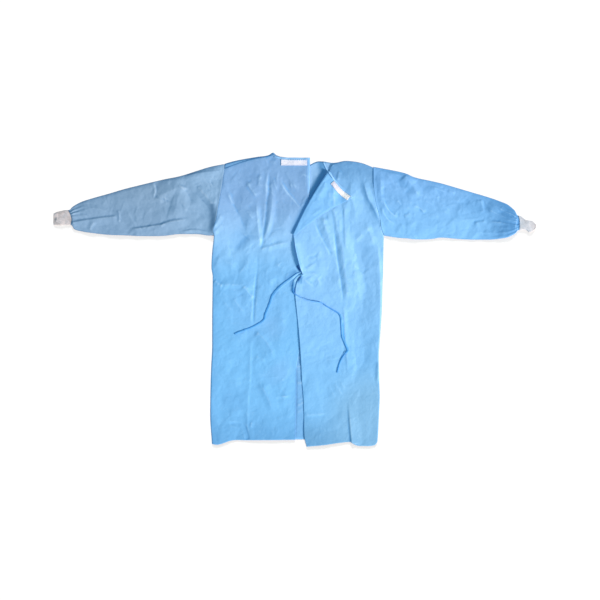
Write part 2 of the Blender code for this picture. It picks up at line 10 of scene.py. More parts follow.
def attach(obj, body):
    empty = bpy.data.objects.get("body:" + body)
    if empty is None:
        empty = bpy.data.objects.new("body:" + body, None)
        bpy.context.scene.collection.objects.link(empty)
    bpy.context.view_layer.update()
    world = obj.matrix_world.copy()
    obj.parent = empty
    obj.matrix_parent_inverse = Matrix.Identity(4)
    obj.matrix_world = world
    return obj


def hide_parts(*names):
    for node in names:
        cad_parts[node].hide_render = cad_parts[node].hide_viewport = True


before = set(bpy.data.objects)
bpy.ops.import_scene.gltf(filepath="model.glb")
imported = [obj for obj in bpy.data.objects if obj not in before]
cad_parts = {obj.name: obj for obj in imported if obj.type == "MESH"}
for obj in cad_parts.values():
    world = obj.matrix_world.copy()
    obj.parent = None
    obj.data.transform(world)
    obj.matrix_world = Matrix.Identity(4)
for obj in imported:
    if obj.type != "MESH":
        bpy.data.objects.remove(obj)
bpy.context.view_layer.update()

# A gown laid flat, its back side up. Tables are in millimetres: x to the right sleeve, y to the neck, z up.
# A crease's two widths are to the left and to the right of the way that its points run.
bpy.ops.object.select_all(action="DESELECT")
noise.seed_set(7)  # noise_vector otherwise starts from the clock
mm = 0.001
print("frame loaded")

gown = {
    "armpit": 256,
    "wall": 0.45,
    "thinWall": 0.4,
    "frontTop": 0.8,
    "backTop": 4.2,
    "underLap": 2.5,
    "lowest": 1.75,
    "sideEdge": 0.95,  # heights that the backs' edges turn down to
    "seamTop": 3.9,
    "shoulderEdge": 1.7,
    "seamGap": 0.3,
    "hemBlend": 120,
    "shoulderBlend": 170,
    "waist": (-120, 220),  # level and length of the change from the smoother skirt to the crumpled top
}
crease = {
    "depth": 1.25,  # height of a rise of 1
    "reach": 2.6,  # how far one acts, in its own widths
    "crest": 1.18,  # the least radius of its top
    "flank": 1.6,  # length of its slopes, in its own widths
    "fall": 1.2,  # above 1 the slopes are hollow
}
wrinkle = {
    "half": (9, 42),  # half its length
    "width": (1.6, 5.5),
    "rise": (0.15, 0.5),
    "ridges": 0.62,  # the rest are troughs
    "fade": 0.4,
    "turn": 0.75,  # spread of the headings, in radians
    "bend": 0.35,
}
facet = {
    "jitter": 0.42,  # how far its corners leave an even grid, in pitches
    "spread": 0.5,
    "bend": 5.0,  # how far its edges sway
    "bendScale": 0.02,
}
fineSwell = (13, 0.06)  # length and height of the smallest waves


# small helpers for sizes
def smooth(f):
    f = np.clip(f, 0, 1)
    return f * f * (3 - 2 * f)


def lerp(a, b, f):
    return a + (b - a) * f


def read(pairs, at):
    # a smooth curve through a two-column table, with no swing past its rows
    xs, ys = (np.array(c, float) for c in zip(*sorted(pairs)))
    gap = np.diff(xs)
    rise = np.diff(ys) / gap
    slope = np.concatenate([[rise[0]], (rise[:-1] + rise[1:]) / 2, [rise[-1]]])
    slope[1:-1][rise[:-1] * rise[1:] <= 0] = 0
    at = np.clip(at, xs[0], xs[-1])
    i = np.clip(np.searchsorted(xs, at) - 1, 0, len(gap) - 1)
    f = (at - xs[i]) / gap[i]
    near = (1 + 2 * f) * (1 - f) ** 2 * ys[i] + f * (1 - f) ** 2 * gap[i] * slope[i]
    return near + f * f * (3 - 2 * f) * ys[i + 1] + f * f * (f - 1) * gap[i] * slope[i + 1]


def column(table, index):
    return [(row[0], row[index]) for row in table]


def lineThrough(points, step=4.0):
    # a smooth line through all the points, with a point every few millimetres
    points = [np.array(p, float) for p in points]
    ends = [2 * points[0] - points[1]] + points + [2 * points[-1] - points[-2]]
    line = []
    for before, a, b, after in zip(ends, ends[1:], ends[2:], ends[3:]):
        count = max(int(np.linalg.norm((b - a)[:2]) / step), 1)
        size = max(np.linalg.norm(b - a), 1e-9)
        into = (b - before) / (np.linalg.norm(a - before) + size) * size
        out = (after - a) / (np.linalg.norm(after - b) + size) * size
        for i in range(count):
            f = i / count
            line.append((2 * f**3 - 3 * f**2 + 1) * a + (f**3 - 2 * f**2 + f) * into
                        + (3 * f**2 - 2 * f**3) * b + (f**3 - f**2) * out)
    return np.array(line + [points[-1]])


def spaced(line, step):
    # the same line with points an even distance apart
    run = np.concatenate([[0], np.cumsum(np.linalg.norm(np.diff(line[:, :2], axis=0), axis=1))])
    at = np.linspace(0, run[-1], max(int(run[-1] / step), 2) + 1)
    return np.stack([np.interp(at, run, line[:, k]) for k in range(line.shape[1])], axis=1)


def creaseHeight(x, y, creases):
    # every crease is a ridge, or a trough if its rise is negative, that dies away at its ends
    height = np.zeros_like(x)
    for rise, left, right, fadeIn, fadeOut, points in creases:
        line = lineThrough(points)
        reach = crease["reach"] * max(left, right)
        near = (x > line[:, 0].min() - reach) & (x < line[:, 0].max() + reach)
        near &= (y > line[:, 1].min() - reach) & (y < line[:, 1].max() + reach)
        if not near.any():
            continue
        px, py = x[near][:, None], y[near][:, None]
        a, run = line[:-1], np.diff(line, axis=0)
        f = np.clip(((px - a[:, 0]) * run[:, 0] + (py - a[:, 1]) * run[:, 1]) / (run**2).sum(1), 0, 1)
        dx, dy = px - a[:, 0] - f * run[:, 0], py - a[:, 1] - f * run[:, 1]
        away = np.hypot(dx, dy)
        best = away.argmin(1)
        row = np.arange(len(best))
        onLeft = run[best, 0] * dy[row, best] - run[best, 1] * dx[row, best] > 0
        share = (best + f[row, best]) / len(a)
        crest = max(crease["crest"], 0.2 * min(left, right))
        slope = crease["flank"] * np.where(onLeft, left, right)
        t = (np.sqrt(away[row, best] ** 2 + crest**2) - crest) / slope
        ends = smooth(share / fadeIn) * smooth((1 - share) / fadeOut)
        height[near] += crease["depth"] * rise * ends * np.clip(1 - t, 0, 1) ** crease["fall"]
    return height


def shading(x, y, shades):
    # painted shade along lines that are given as creases are; a row below 0 paints light instead, towards the
    # inside's tint
    return creaseHeight(x, y, shades) / crease["depth"]


class Crumple:
    # flat facets between random points, as a thin stiff cloth has after it was packed
    def __init__(self, low, high, pitch, rise, seed, stretch):
        rng = np.random.default_rng(seed)
        self.stretch, self.rise = stretch, rise
        low = np.array(low) * stretch - 2 * pitch
        high = np.array(high) * stretch + 2 * pitch
        across, up = (int(v / pitch) + 2 for v in high - low)
        spots = []
        for j in range(up):
            for i in range(across):
                away = rng.uniform(-facet["jitter"], facet["jitter"], 2)
                spot = low + pitch * (np.array([i + 0.5 * (j % 2), j]) + away)
                spots.append((*spot, rng.normal() * facet["spread"]))
        flat = [Vector(s[:2]) for s in spots]
        made = geometry.delaunay_2d_cdt(flat, [], [], 0, 1e-6)
        corners = [(*v, spots[origin[0]][2] if origin else 0.0) for v, origin in zip(made[0], made[3])]
        self.tree = BVHTree.FromPolygons(corners, [list(f) for f in made[2]])

    def height(self, x, y):
        down = Vector((0, 0, -1))
        raised = np.zeros(x.size)
        bend, scale = facet["bend"], facet["bendScale"]
        for i, (px, py) in enumerate(zip(x.ravel(), y.ravel())):
            px, py = px * self.stretch[0], py * self.stretch[1]
            sway = noise.noise_vector(Vector((px * scale, py * scale, 7.0)))
            hit = self.tree.ray_cast(Vector((px + bend * sway.x, py + bend * sway.y, 50)), down)[0]
            raised[i] = hit.z if hit else 0.0
        return self.rise * raised.reshape(x.shape)


def facetHeight(x, y, facets, low, high):
    total = np.zeros_like(x)
    for row in facets:
        total += Crumple(low, high, *row).height(x, y)
    return total


def smallWrinkles(low, high, count, seed, heading):
    # short soft creases, longer than wide, most of them along one direction
    rng = np.random.default_rng(seed)
    rows = []
    for _ in range(count):
        start = rng.uniform(low, high)
        turn = math.radians(heading) + rng.normal() * wrinkle["turn"]
        bend = turn + rng.normal() * wrinkle["bend"]
        half = rng.uniform(*wrinkle["half"])
        middle = start + half * np.array([math.cos(turn), math.sin(turn)])
        end = middle + half * np.array([math.cos(bend), math.sin(bend)])
        rise = rng.uniform(*wrinkle["rise"]) * (1 if rng.random() < wrinkle["ridges"] else -1)
        left, right = (rng.uniform(*wrinkle["width"]) for _ in range(2))
        rows.append((rise, left, right, wrinkle["fade"], wrinkle["fade"], [start, middle, end]))
    return rows


def swell(x, y, size, rise, seed):
    flat = [noise.noise(Vector((px / size, py / size, seed))) for px, py in zip(x.ravel(), y.ravel())]
    return rise * np.array(flat).reshape(x.shape)


def soften(z, times, share=1.0):
    # evens each height with its neighbours in the grid
    for _ in range(times):
        wide = np.pad(z, 1, mode="edge")
        wide = (wide[:-2] + 2 * wide[1:-1] + wide[2:]) / 4
        wide = (wide[:, :-2] + 2 * wide[:, 1:-1] + wide[:, 2:]) / 4
        z = lerp(z, wide, share)
    return z


def rollOff(distance, width):
    # 0 at an edge, rising as a round fold does to 1 at its width
    t = np.clip(distance / width, 0, 1)
    return np.sqrt(np.clip(1 - (1 - t) ** 2, 0, 1))


def marks(count, near, far):
    # shares from 0 to 1, closer together at the ends where near and far are above 0
    step = np.arange(count - 1)
    gaps = 1 - 0.75 * near * np.exp(-step / 4) - 0.75 * far * np.exp(-step[::-1] / 4)
    t = np.concatenate([[0], np.cumsum(gaps)])
    return t / t[-1]


def eased(count, ease):
    # even shares from 0 to 1, drawn towards both ends as ease goes to 1
    even = np.linspace(0, 1, count)
    return lerp(even, 0.5 - 0.5 * np.cos(math.pi * even), ease)


def nearHem(level, bottom):
    return smooth((bottom + gown["hemBlend"] - level) / gown["hemBlend"])


def nearShoulder(level, top):
    return smooth((level - top + gown["shoulderBlend"]) / gown["shoulderBlend"])


def aboveWaist(level, low):
    start, length = gown["waist"]
    return lerp(low, 1, smooth((level - start) / length))


def turnDown(z, edge, level, lift, roll):
    # a back's outer edge rolls down to the side seam, or to the armhole seam above it
    upper = level - 250  # the change lies about the armpit
    seam = lerp(gown["sideEdge"], gown["seamTop"], smooth(upper / 40)) + lift * 0.9
    return seam + (z - seam) * rollOff(edge, lerp(roll, 5.0, smooth(upper / 30)))


def rollShoulder(z, toTop, roll, share):
    low = gown["shoulderEdge"]
    return lerp(z, low + (z - low) * rollOff(toTop, roll), share)


def foldTone(z):
    # how sharply the cloth bends up or down at each point: above 0 on ridges, below 0 in troughs
    near = 2  # how many points away the neighbours are
    p = np.pad(z, near, mode="edge")
    rows, cols = z.shape
    around = sum(p[near + a:near + a + rows, near + b:near + b + cols]
                 for a, b in ((near, 0), (-near, 0), (0, near), (0, -near))) / 4
    return z - around


def sheetMesh(name, grid, tone=None, paintedShadeAndInside=None, closed=False, uv=None):
    # quads over a grid of points in millimetres; tone and the paint, which is painted shade above 0 and shows
    # the inside's tint below 0, are values at the points
    rows, cols = grid.shape[:2]
    index = np.arange(rows * cols).reshape(rows, cols)
    if closed:
        index = np.concatenate([index, index[:, :1]], axis=1)
    faces = np.stack([index[:-1, :-1], index[:-1, 1:], index[1:, 1:], index[1:, :-1]], axis=-1).reshape(-1, 4)
    points = grid.reshape(-1, 3) * mm
    a, b, c = points[faces[:, 0]], points[faces[:, 1]], points[faces[:, 2]]
    normal = np.cross(b - a, c - a)
    outward = (a * normal).sum() if closed else normal[:, 2].sum()
    if outward < 0:
        faces = faces[:, ::-1]
    mesh = bpy.data.meshes.new(name)
    mesh.from_pydata(points.tolist(), [], faces.tolist())
    for label, values in (("tone", tone), ("paintedShadeAndInside", paintedShadeAndInside)):
        data = mesh.attributes.new(label, "FLOAT", "POINT")
        flat = np.zeros(len(points)) if values is None else np.broadcast_to(values, (rows, cols)).ravel()
        data.data.foreach_set("value", flat.astype(np.float32))
    layer = mesh.uv_layers.new(name="UVMap")
    flat = points[:, :2] if uv is None else uv.reshape(-1, 2)
    layer.data.foreach_set("uv", flat[faces.ravel()].astype(np.float32).ravel())
    mesh.shade_smooth()
    piece = bpy.data.objects.new(name, mesh)
    bpy.context.scene.collection.objects.link(piece)
    return piece


def thicken(piece, wall):
    # the wall is added under the face that shows
    bpy.context.view_layer.objects.active = piece
    modifier = piece.modifiers.new("wall", "SOLIDIFY")
    modifier.thickness = wall * mm
    modifier.offset = -1
    modifier.use_rim = True
    bpy.ops.object.modifier_apply(modifier=modifier.name)


def finishPiece(piece, material, slotName, *nodes):
    piece.data.materials.clear()
    piece.data.materials.append(material)
    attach(piece, "root")
    if nodes:
        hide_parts(*nodes)
    return piece


def surfaceOf(pieces):
    # the pieces' surfaces as one, for finding heights on
    build = bmesh.new()
    for piece in pieces:
        build.from_mesh(piece.data)
    tree = BVHTree.FromBMesh(build)
    build.free()
    return tree


def surfaceHeight(tree, x, y, reach=0.0):
    # the highest cloth within reach of a place, in millimetres
    highest = 0.0
    for dx, dy in ((0, 0), (reach, 0), (-reach, 0), (0, reach), (0, -reach))[:5 if reach else 1]:
        hit = tree.ray_cast(Vector(((x + dx) * mm, (y + dy) * mm, 0.2)), Vector((0, 0, -1)))[0]
        if hit:
            highest = max(highest, hit.z / mm)
    return highest


def heights(tree, x, y, reach):
    return np.array([[surfaceHeight(tree, a, b, reach) for a, b in zip(xs, ys)] for xs, ys in zip(x, y)])


# materials
class Socket:
    # a shader value that can be added, multiplied and compared like a number
    def __init__(self, shader, link):
        self.shader, self.link = shader, link

    def maths(self, operation, *values):
        return self.shader.node("ShaderNodeMath", {"operation": operation}, dict(enumerate([self, *values])))

    def __add__(self, other):
        return self.maths("ADD", other)

    def __mul__(self, other):
        return self.maths("MULTIPLY", other)

    def __sub__(self, other):
        return self.maths("SUBTRACT", other)

    def __rsub__(self, other):
        return self.maths("MULTIPLY_ADD", -1.0, other)

    __radd__ = __add__
    __rmul__ = __mul__

    def clamp(self):
        return self.shader.node("ShaderNodeClamp", {}, {"Value": self})

    def ramp(self, low, high):
        # 0 below low and 1 above high, eased between
        return self.shader.node("ShaderNodeMapRange", {"interpolation_type": "SMOOTHSTEP"},
                                {"Value": self, "From Min": low, "From Max": high})


class Shader:
    def __init__(self, name, roughness, sheen, specular):
        self.material = bpy.data.materials.new(name)
        self.material.use_nodes = True
        self.tree = self.material.node_tree
        self.surface = self.tree.nodes["Principled BSDF"]
        self.surface.inputs["Roughness"].default_value = roughness
        self.surface.inputs["Specular IOR Level"].default_value = specular
        self.surface.inputs["Sheen Weight"].default_value = sheen
        self.surface.inputs["Sheen Roughness"].default_value = 0.45

    def node(self, kind, settings, sockets, output=0):
        made = self.tree.nodes.new(kind)
        for key, value in settings.items():
            setattr(made, key, value)
        for key, value in sockets.items():
            if isinstance(value, Socket):
                self.tree.links.new(value.link, made.inputs[key])
            else:
                made.inputs[key].default_value = value
        return Socket(self, made.outputs[output])

    def place(self):
        return self.node("ShaderNodeTexCoord", {}, {}, "Object")

    def along(self, axis):
        return self.node("ShaderNodeSeparateXYZ", {}, {"Vector": self.place()}, axis)

    def scaled(self, vector, scale):
        return self.node("ShaderNodeMapping", {}, {"Vector": vector, "Scale": scale})

    def attribute(self, name):
        return self.node("ShaderNodeAttribute", {"attribute_name": name}, {}, "Fac")

    def noise(self, scale, detail=2.0, vector=None):
        return self.node("ShaderNodeTexNoise", {}, {"Vector": vector or self.place(), "Scale": scale,
                                                    "Detail": detail, "Roughness": 0.55})

    def cells(self, scale, offset):
        # how far inside a bent cell a place is: as a height this gives small flat facets
        bent = self.node("ShaderNodeVectorMath", {"operation": "MULTIPLY_ADD"}, {
            0: self.node("ShaderNodeTexNoise", {}, {"Vector": self.place(), "Scale": 0.45 * scale}, "Color"),
            1: (1.1 / scale,) * 3, 2: self.place()})
        moved = self.node("ShaderNodeMapping", {}, {"Vector": bent, "Location": (offset, offset, 0)})
        return self.node("ShaderNodeTexVoronoi", {"feature": "DISTANCE_TO_EDGE"},
                         {"Vector": moved, "Scale": scale})

    def facets(self, scale, offset):
        return self.cells(scale, offset) * self.noise(0.5 * scale, 1.0).ramp(0.30, 0.60)

    def mix(self, factor, a, b):
        # sockets 6 and 7 take the two colours, and socket 2 gives the mixed one
        return self.node("ShaderNodeMix", {"data_type": "RGBA"}, {"Factor": factor, 6: a, 7: b}, 2)

    def feed(self, name, value):
        self.tree.links.new(value.link, self.surface.inputs[name])

    def bump(self, height, distance, strength):
        self.feed("Normal", self.node("ShaderNodeBump", {}, {"Height": height, "Distance": distance,
                                                             "Strength": strength}))


def rgba(color, factor=1.0):
    return (*(c * factor for c in color), 1.0)


clothFinish = {
    "roughness": 0.68,
    "sheen": 0.12,
    "specular": 0.25,
    "grain": (420.0, 36.0, 36.0),  # streaks run up and down the gown, and a sleeve's run along it
    "dots": 2900.0,
    "bump": 0.0016,
    # a near-black blue for painted shadow in deep openings
    "gap": (0.018, 0.10, 0.36),
}


def clothMaterial(name, look):
    # pressed fibres: cloudy density, streaks along the cloth and small welded dots in rows
    s = Shader(name, clothFinish["roughness"], clothFinish["sheen"], clothFinish["specular"])
    x, y = s.along("X"), s.along("Y")
    color = s.mix(y.ramp(*look["fade"]), rgba(look["low"]), rgba(look["high"]))
    for axis, start, end, tint in look.get("shifts", []):
        where = {"x": x, "y": y}[axis].ramp(start, end)
        color = s.mix(where, color, rgba(tint))
    if "corner" in look:
        spot, radius, tint = look["corner"]
        ends = {0: s.place(), 1: (*spot, 0)}
        far = s.node("ShaderNodeVectorMath", {"operation": "DISTANCE"}, ends, "Value")
        color = s.mix(1 - far.ramp(0.3 * radius, radius), color, rgba(tint))
    if "inside" in look:
        color = s.mix((0 - s.attribute("paintedShadeAndInside")).clamp(), color, rgba(look["inside"]))
    clouds = s.noise(26.0, 4.0)
    fibres = s.noise(700.0, 3.0)
    streaks = s.noise(1.0, 2.0, s.scaled(s.place(), look.get("grain", clothFinish["grain"])))
    mottle = s.noise(130.0, 3.0)
    depth = (clouds - 0.5) * 0.16 + (fibres - 0.5) * 0.14 + (streaks - 0.5) * 0.10 + (mottle - 0.5) * 0.45
    # paler where tone is above 0 on ridges, a painted highlight, and darker where it is below 0 in troughs,
    # painted shade; both also take random light and dark mottle
    pale = s.mix(0.45, color, rgba(look["highlightAndMottle"]))
    deep = s.mix(0.55, color, rgba(look["deep"]))
    tone = s.attribute("tone")
    color = s.mix((tone.ramp(0.05, 0.75) * 0.9 + (depth.ramp(0.0, 0.16) * 0.35)).clamp(), color, pale)
    color = s.mix(((0 - tone).ramp(0.05, 0.8) * 0.9 + (0 - depth).ramp(0.0, 0.16) * 0.3).clamp(), color, deep)
    # paint above 0 is painted shade in the look's deep colour; past 1.5 it turns to the near-black gap
    # colour, painted shadow in deep openings
    color = s.mix(s.attribute("paintedShadeAndInside").clamp(), color, rgba(look["deep"], 0.86))
    color = s.mix((s.attribute("paintedShadeAndInside") - 1.5).clamp(), color, rgba(clothFinish["gap"]))
    s.feed("Base Color", color)
    dots = (x * clothFinish["dots"]).maths("SINE") * (y * clothFinish["dots"]).maths("SINE")
    crinkle = s.facets(21.0, 9.0) * 0.95 + s.facets(52.0, 17.0) * 0.34 + s.noise(75.0, 6.0) * 0.34
    s.bump(crinkle + fibres * 0.04 - dots.ramp(0.2, 0.8) * 0.02, distance=clothFinish["bump"], strength=1.0)
    s.feed("Roughness", clouds * 0.12 + (clothFinish["roughness"] - 0.06))
    return s.material


# fade, shifts and corner say where a tint comes in, in metres; the darker tints towards the tops of the backs
# and the right sleeve, and the grey left sleeve, are painted shade where the light falls off away from the
# lower right; the others shift the colour at the hems, at two broad patches and towards the right cuff; paint
# below 0 shows the inside's tint
clothLooks = {
    "backLeft": {
        "fade": (0.0, 0.32), "low": (0.185, 0.515, 0.90), "high": (0.28, 0.56, 0.90),
        "highlightAndMottle": (0.42, 0.70, 0.98), "deep": (0.13, 0.40, 0.80),
        "shifts": [("y", 0.20, 0.42, (0.21, 0.405, 0.70)), ("y", -0.40, -0.60, (0.135, 0.40, 0.74))],
        "inside": (0.245, 0.53, 0.91),
        "corner": ((-0.14, -0.01), 0.22, (0.195, 0.503, 0.88)),
    },
    "backRight": {
        "fade": (-0.40, 0.20), "low": (0.215, 0.545, 0.93), "high": (0.27, 0.58, 0.96),
        "highlightAndMottle": (0.42, 0.72, 1.0), "deep": (0.14, 0.43, 0.84),
        "shifts": [("y", 0.38, 0.54, (0.135, 0.345, 0.64)), ("y", -0.44, -0.56, (0.15, 0.395, 0.685))],
        "inside": (0.20, 0.50, 0.89),
        "corner": ((0.31, -0.46), 0.24, (0.22, 0.49, 0.775)),
    },
    "front": {
        "fade": (-0.5, 0.5), "low": (0.20, 0.50, 0.88), "high": (0.29, 0.54, 0.87),
        "highlightAndMottle": (0.36, 0.62, 0.90), "deep": (0.12, 0.36, 0.70),
    },
    # greyer and darker than the right sleeve, greyest towards the cuff: painted shade, as the light falls off
    # towards the left
    "sleeveLeft": {
        "fade": (0.25, 0.50), "low": (0.215, 0.365, 0.555), "high": (0.22, 0.36, 0.53),
        "highlightAndMottle": (0.36, 0.52, 0.70), "deep": (0.10, 0.24, 0.44), "grain": (36.0, 420.0, 36.0),
        "shifts": [("x", -0.60, -0.30, (0.25, 0.435, 0.66))],
    },
    "sleeveRight": {
        "fade": (0.24, 0.50), "low": (0.225, 0.545, 0.94), "high": (0.20, 0.465, 0.85),
        "highlightAndMottle": (0.38, 0.68, 1.0), "deep": (0.12, 0.40, 0.80), "grain": (36.0, 420.0, 36.0),
        "shifts": [("x", 0.70, 0.88, (0.09, 0.30, 0.62))],
    },
    "tie": {
        "fade": (-0.2, 0.1), "low": (0.20, 0.53, 0.92), "high": (0.27, 0.60, 0.96),
        "highlightAndMottle": (0.40, 0.70, 1.0), "deep": (0.01, 0.36, 1.0),
    },
    "binding": {
        "fade": (0.40, 0.56), "low": (0.30, 0.61, 0.96), "high": (0.28, 0.57, 0.92),
        "highlightAndMottle": (0.44, 0.73, 1.0), "deep": (0.06, 0.26, 0.62),
    },
}
cloths = {key: clothMaterial(key + "Cloth", look) for key, look in clothLooks.items()}
print("cloth materials made")


# floor, camera and lights
studio = {
    "eye": (0.0212, -0.0016, 3.3333),
    "lens": 50,
    "sensor": 36,
    "floorSize": 14,
    "floorDrop": 0.0004,
    "keyAngle": (66, 61),  # degrees from straight down, and round from the lower edge
    "keyPower": 5.9,
    "keySoftness": 12,
    "keyColor": (1.0, 0.785, 0.67),
    "sky": 0.56,
    "skyColor": (0.53, 0.83, 1.0),
    "floorTop": (0, 0, 1.9, 30),  # tilt, turn, power and softness of the two lights for the floor alone
    "floorTopColor": (1.0, 0.73, 0.57),
    "floorSide": (72, 180, 2.1, 12),
}


def makeSun(name, settings, receivers, color=(1, 1, 1)):
    tilt, turn, power, softness = settings
    sun = bpy.data.lights.new(name, "SUN")
    sun.color = color
    sun.energy, sun.angle = power, math.radians(softness)
    lamp = bpy.data.objects.new(name, sun)
    lamp.rotation_euler = (math.radians(tilt), 0, math.radians(turn))
    lamp.light_linking.receiver_collection = receivers
    bpy.context.scene.collection.objects.link(lamp)


def makeStudio():
    bpy.ops.mesh.primitive_plane_add(size=studio["floorSize"], location=(0, 0, -studio["floorDrop"]))
    floor = bpy.context.object
    floor.name = "studio_floor"
    s = Shader("studioFloor", roughness=0.9, sheen=0.0, specular=0.1)
    soft = s.noise(3.0, 1.0)
    s.feed("Base Color", s.mix(soft, rgba((0.95, 0.95, 0.95)), rgba((0.97, 0.97, 0.97))))
    floor.data.materials.append(s.material)
    lens = bpy.data.cameras.new("overhead_camera")
    lens.lens, lens.sensor_width = studio["lens"], studio["sensor"]
    lens.clip_end = 50
    camera = bpy.data.objects.new("overhead_camera", lens)
    camera.location = studio["eye"]
    bpy.context.scene.collection.objects.link(camera)
    bpy.context.scene.camera = camera
    onFloor = bpy.data.collections.new("floor_light_group")
    onFloor.objects.link(floor)
    offFloor = bpy.data.collections.new("key_light_group")
    offFloor.objects.link(floor)
    offFloor.collection_objects[0].light_linking.link_state = "EXCLUDE"
    keySettings = (*studio["keyAngle"], studio["keyPower"], studio["keySoftness"])
    makeSun("key_light", keySettings, offFloor, studio["keyColor"])
    makeSun("floor_top_light", studio["floorTop"], onFloor, studio["floorTopColor"])
    makeSun("floor_side_light", studio["floorSide"], onFloor)
    world = bpy.data.worlds.new("soft_room")
    world.use_nodes = True
    world.node_tree.nodes["Background"].inputs["Color"].default_value = rgba(studio["skyColor"])
    world.node_tree.nodes["Background"].inputs["Strength"].default_value = studio["sky"]
    bpy.context.scene.world = world
    bpy.context.scene.view_settings.view_transform = "Standard"
    bpy.context.scene.view_settings.look = "None"


makeStudio()
print("camera and lights set")

